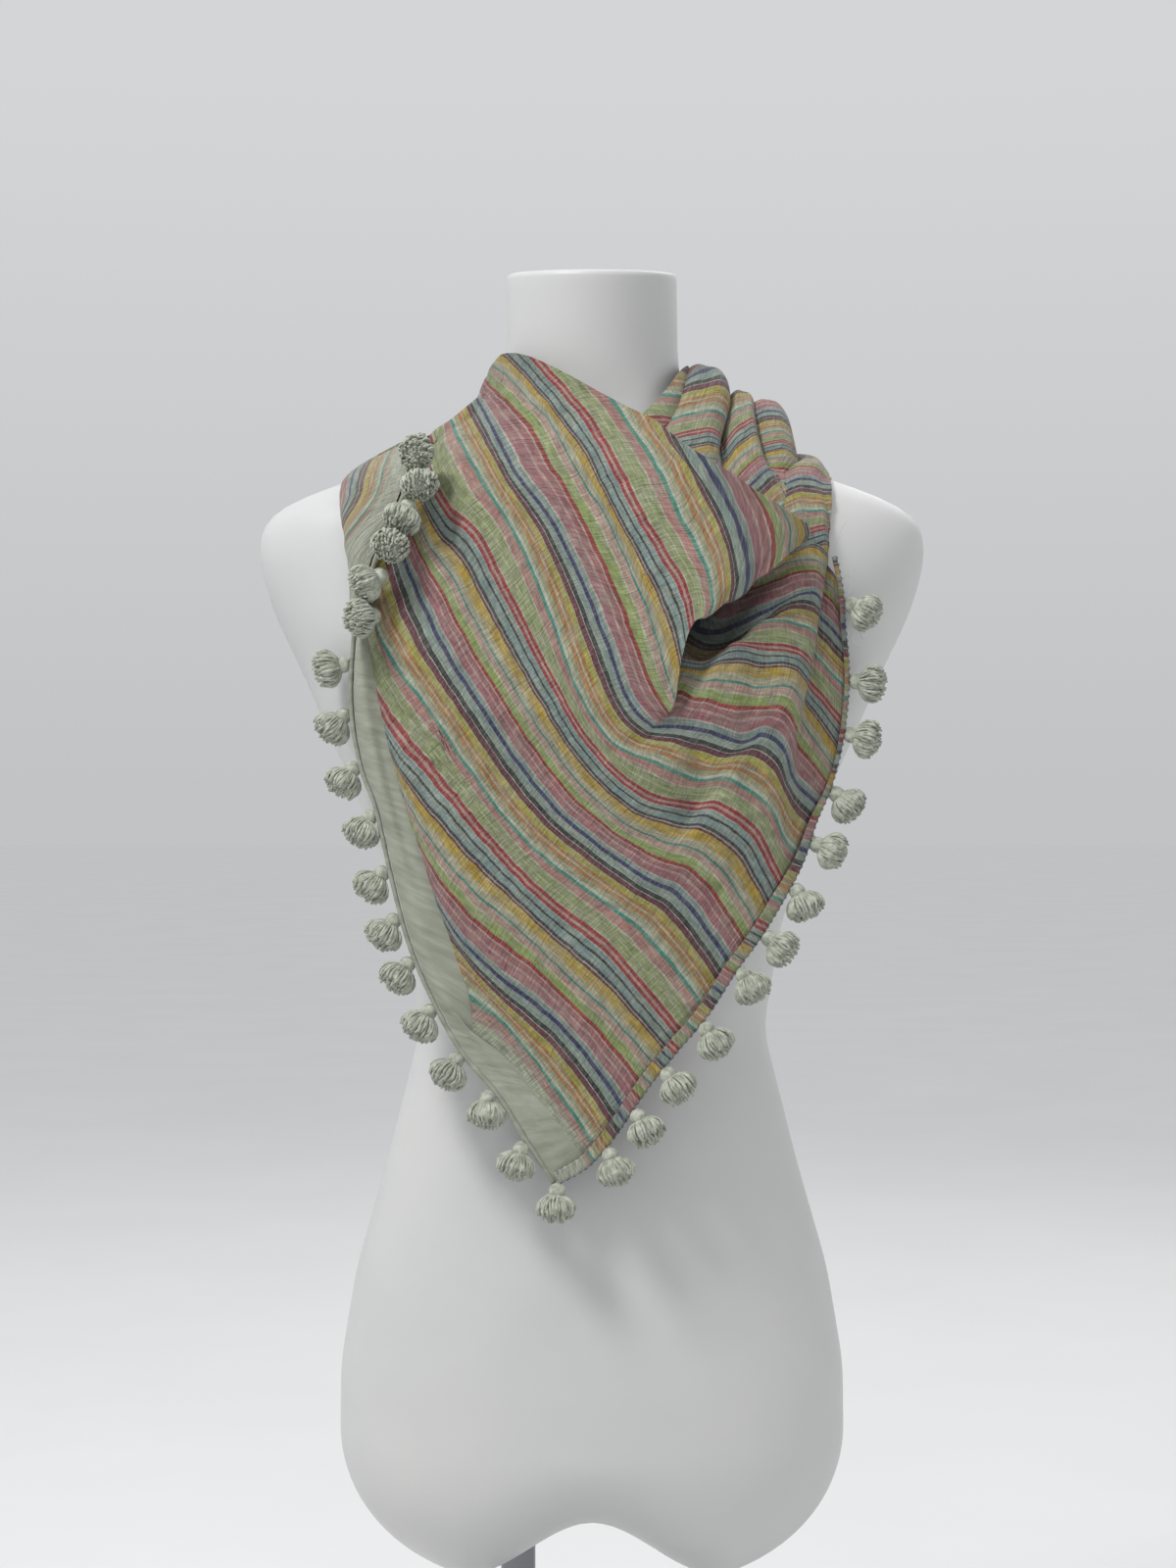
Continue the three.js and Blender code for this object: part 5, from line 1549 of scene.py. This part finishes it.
# How far out a ring of strands lies, and how many it has.
tasselRings = ((1.0, 52), (0.84, 42), (0.66, 32), (0.46, 20), (0.26, 11), (0.08, 4))
tasselNeck = {"turns": 14, "radius": 3.0, "thick": 0.5, "sides": 6}
tasselRoot = {"sag": -0.6, "radii": (0.9, 1.0, 1.3), "sides": 8}
tasselCore = {"around": 26, "rows": 8, "shrink": 0.86, "close": 3, "flat": 0.92, "groove": 0.05, "long": 14.2}
tasselHead = {"around": 16, "rows": 10, "grooves": 8, "deep": 0.04, "twist": 1.5}
tassels = {  # mm along the hem from the corner or the top, and degrees from straight down
    "left": [
        (27, -18), (62, -5), (92, -30), (124, -32), (155, -36), (183, -33), (212, -38), (247, -26),
        (277, -34), (310, -42), (342, -76)],
    "right": [
        (33, 20), (63, 28), (93, 38), (127, 33), (167, 32), (193, 52), (226, 28), (257, 68), (290, 45),
        (326, 76), (358, 82), (405, 60)],
    "flap": [(23, -70), (38, 10), (58, -24), (80, -20), (103, -62), (127, -76)],
}
tasselTips = {"flap": (66, 52, 30, 64, 22, 40)}  # degrees that a tassel points out at the viewer
plainTip = 8  # the same for the others
rolledWide = 2 * rolledHem["radius"] + 0.4  # how far a rolled hem reaches past its cloth
alongSteps = 200  # the steps that a hem is measured in
tasselHems = {  # the hem, the side and distance of its outer edge, and how far its heads stand off and up
    "left": {"line": leftHemLine, "side": -1, "edge": rolledWide, "off": rolledHem["off"], "headUp": 0},
    "right": {"line": rightHemLine, "side": 1, "edge": 0.3, "off": 1.8, "headUp": 0},
    "flap": {"line": flapHemLine, "side": -1, "edge": rolledWide + 1, "off": rolledHem["off"], "headUp": 5},
}
rootGap, headGap = 0.3, 4.2  # mm from the hem's edge to a tassel's root and to the middle of its head
cornerTassel = {"root": (0.4, 1.8), "head": (-2, 0, -4.2), "turn": -4}


def pointAlong(line, along):
    fine = evenly(line, alongSteps)
    gone = 0.0
    for p, q in zip(fine, fine[1:]):
        gone += math.hypot(q[0] - p[0], q[1] - p[1])
        if gone >= along:
            return q
    return fine[-1]


def makeTassels(yarn):
    made = {}
    for name, hem in tasselHems.items():
        heads = besides(hem["line"], hem["side"] * (hem["edge"] + headGap), hem["off"] + hem["headUp"])
        roots = besides(hem["line"], hem["side"] * (hem["edge"] + rootGap), hem["off"])
        tips = tasselTips.get(name, [plainTip] * len(tassels[name]))
        made[name] = []
        for k, ((along, turn), tip) in enumerate(zip(tassels[name], tips)):
            root, head = onFront(*pointAlong(roots, along)), onFront(*pointAlong(heads, along))
            one = makeTassel(f"tassel.{name}.{k + 1}", f"tassel_{name}_{k + 1}", head, root, turn, tip, yarn)
            made[name].append(one)
    root = onFront(*besides(rightHemLine, *cornerTassel["root"])[0])
    head = root + Vector(cornerTassel["head"])
    corner = makeTassel("tassel.corner", "tassel_corner", head, root, cornerTassel["turn"], plainTip, yarn)
    made["right"].append(corner)
    print("tassels")
    return made


def makeTassel(name, node, head, root, turn, tip, yarn):
    a, b = math.radians(turn), math.radians(tip)
    down = Vector((math.sin(a) * math.cos(b), -math.sin(b), -math.cos(a) * math.cos(b)))
    side = Vector((0, 1, 0)).cross(down).normalized()
    over = down.cross(side)
    points, faces = [], []
    addHead(points, faces, head, side, over, down)
    knot = [root, (root + head) / 2 + down * tasselRoot["sag"], head]
    addTube(points, faces, knot, tasselRoot["radii"], tasselRoot["sides"])
    ring = []
    for k in range(tasselNeck["turns"] + 1):
        angle = 2 * math.pi * k / tasselNeck["turns"]
        out = side * math.cos(angle) + over * math.sin(angle)
        ring.append(head + down * tassel["neck"] + out * tasselNeck["radius"])
    addTube(points, faces, ring, [tasselNeck["thick"]] * len(ring), tasselNeck["sides"])
    addCore(points, faces, head, side, over, down)
    squash = random.uniform(*tassel["squash"])
    for reach, count in tasselRings:
        for k in range(count):
            angle = 2 * math.pi * (k + random.uniform(-strand["spread"], strand["spread"])) / count + reach
            out = side * math.cos(angle) + over * (math.sin(angle) * squash)
            addStrand(points, faces, head, down, out, out.cross(down), reach)
    obj = linkMesh(name, points, faces, yarn)
    return carried(obj, "yarn", node)


def skirtRadius(t):
    swell = math.sin(math.pi / 2 * min(t / tassel["bellAt"], 1)) ** tassel["bellPower"]
    return tassel["neck"] + (tassel["bell"] - tassel["neck"]) * swell


def addStrand(points, faces, head, down, out, beside, reach):
    wide = reach * random.uniform(*strand["wide"])
    shorter = 1 - strand["shorter"] * reach ** 3
    long = (tassel["skirt"] - tassel["from"]) * shorter * random.uniform(*strand["long"])
    sway = random.uniform(-strand["sway"], strand["sway"])
    wave = random.uniform(-strand["wave"], strand["wave"])
    path = []
    for t in strand["at"]:
        tuck = strand["tuck"] * max(t - tassel["bellAt"], 0) / (1 - tassel["bellAt"])
        radius = skirtRadius(t) * wide * (1 - tuck)
        spot = head + down * (tassel["from"] + long * t) + out * radius
        path.append(spot + beside * (sway * t * t + wave * math.sin(strand["waves"] * t)))
    thick = strand["radius"] * random.uniform(*strand["thick"])
    addTube(points, faces, path, [thick * r for r in strand["radii"]], strand["sides"])


def addCore(points, faces, head, side, over, down):
    around, rows = tasselCore["around"], tasselCore["rows"]
    start = len(points)
    for i in range(rows + 1):
        t = i / rows
        shrink = tasselCore["shrink"] * min(1, tasselCore["close"] * (1 - t)) ** 0.5
        for k in range(around):
            turn = 2 * math.pi * k / around
            out = side * math.cos(turn) + over * (math.sin(turn) * tasselCore["flat"])
            groove = 1 + tasselCore["groove"] * random.uniform(-1, 1)
            low = tassel["from"] + tasselCore["long"] * t
            points.append(head + down * low + out * (skirtRadius(t) * shrink * groove))
    for a, b in ringPairs(start, rows, around):
        faces.append((a, a + around, b + around, b))
    faces.append(tuple(start + k for k in range(around)))


def addHead(points, faces, middle, side, over, down):
    around, rows = tasselHead["around"], tasselHead["rows"]
    start = len(points)
    for i in range(rows + 1):
        polar = math.pi * i / rows
        for k in range(around):
            turn = 2 * math.pi * k / around
            twisted = tasselHead["grooves"] * turn + tasselHead["twist"] * polar
            groove = 1 + tasselHead["deep"] * math.cos(twisted)
            out = side * math.cos(turn) + over * math.sin(turn)
            way = out * math.sin(polar) - down * math.cos(polar)
            points.append(middle + way * tassel["head"] * groove)
    for a, b in ringPairs(start, rows, around):
        faces.append((a, a + around, b + around, b))


# The whole.

silk = stripedSilk("stripedSilk", silkLook)
reverseSilk = stripedSilk("reverseSilk", silkLook | {"slub": 0.2, "weft": 0.2, "fade": 0.12})
hemSilk = stripedSilk("hemSilk", silkLook | {"slub": 0.2, "weft": 0.2, "crinkle": 0.8, "contrast": 1.55})
sage = sageSilk()
yarn = sageYarn()

makeCamera()
makeLights()
makeRoom()
makeFloor()
form = makeForm(frostedPlastic())
dressStand(polishedSteel())
front, places, frontPoints = makeFront(silk)
facing = makeFacing(reverseSilk, places, frontPoints)
border = makeSage(sage, frontPoints[0])
flap = makeFlap(reverseSilk)
backWrap = makeBack(silk)
collar = makeCollar(silk)
pleats = [makePleat(name, pleat, silk) for name, pleat in pleatTable.items()]
leftHem = makeRolledHem("leftHem", sage)
flapHem = makeRolledHem("flapHem", sage)
rightHem, inner, outer = makeRightHem(hemSilk)
stitches = [
    makeStitches("hemStitchInner", inner, stitchThread("plumThread", (124, 78, 92))),
    makeStitches("hemStitchOuter", outer, stitchThread("blueThread", (70, 92, 128))),
]
loose = makeLooseThreads(stitchThread("paleThread", (196, 198, 190)))
sewn = makeTassels(yarn)
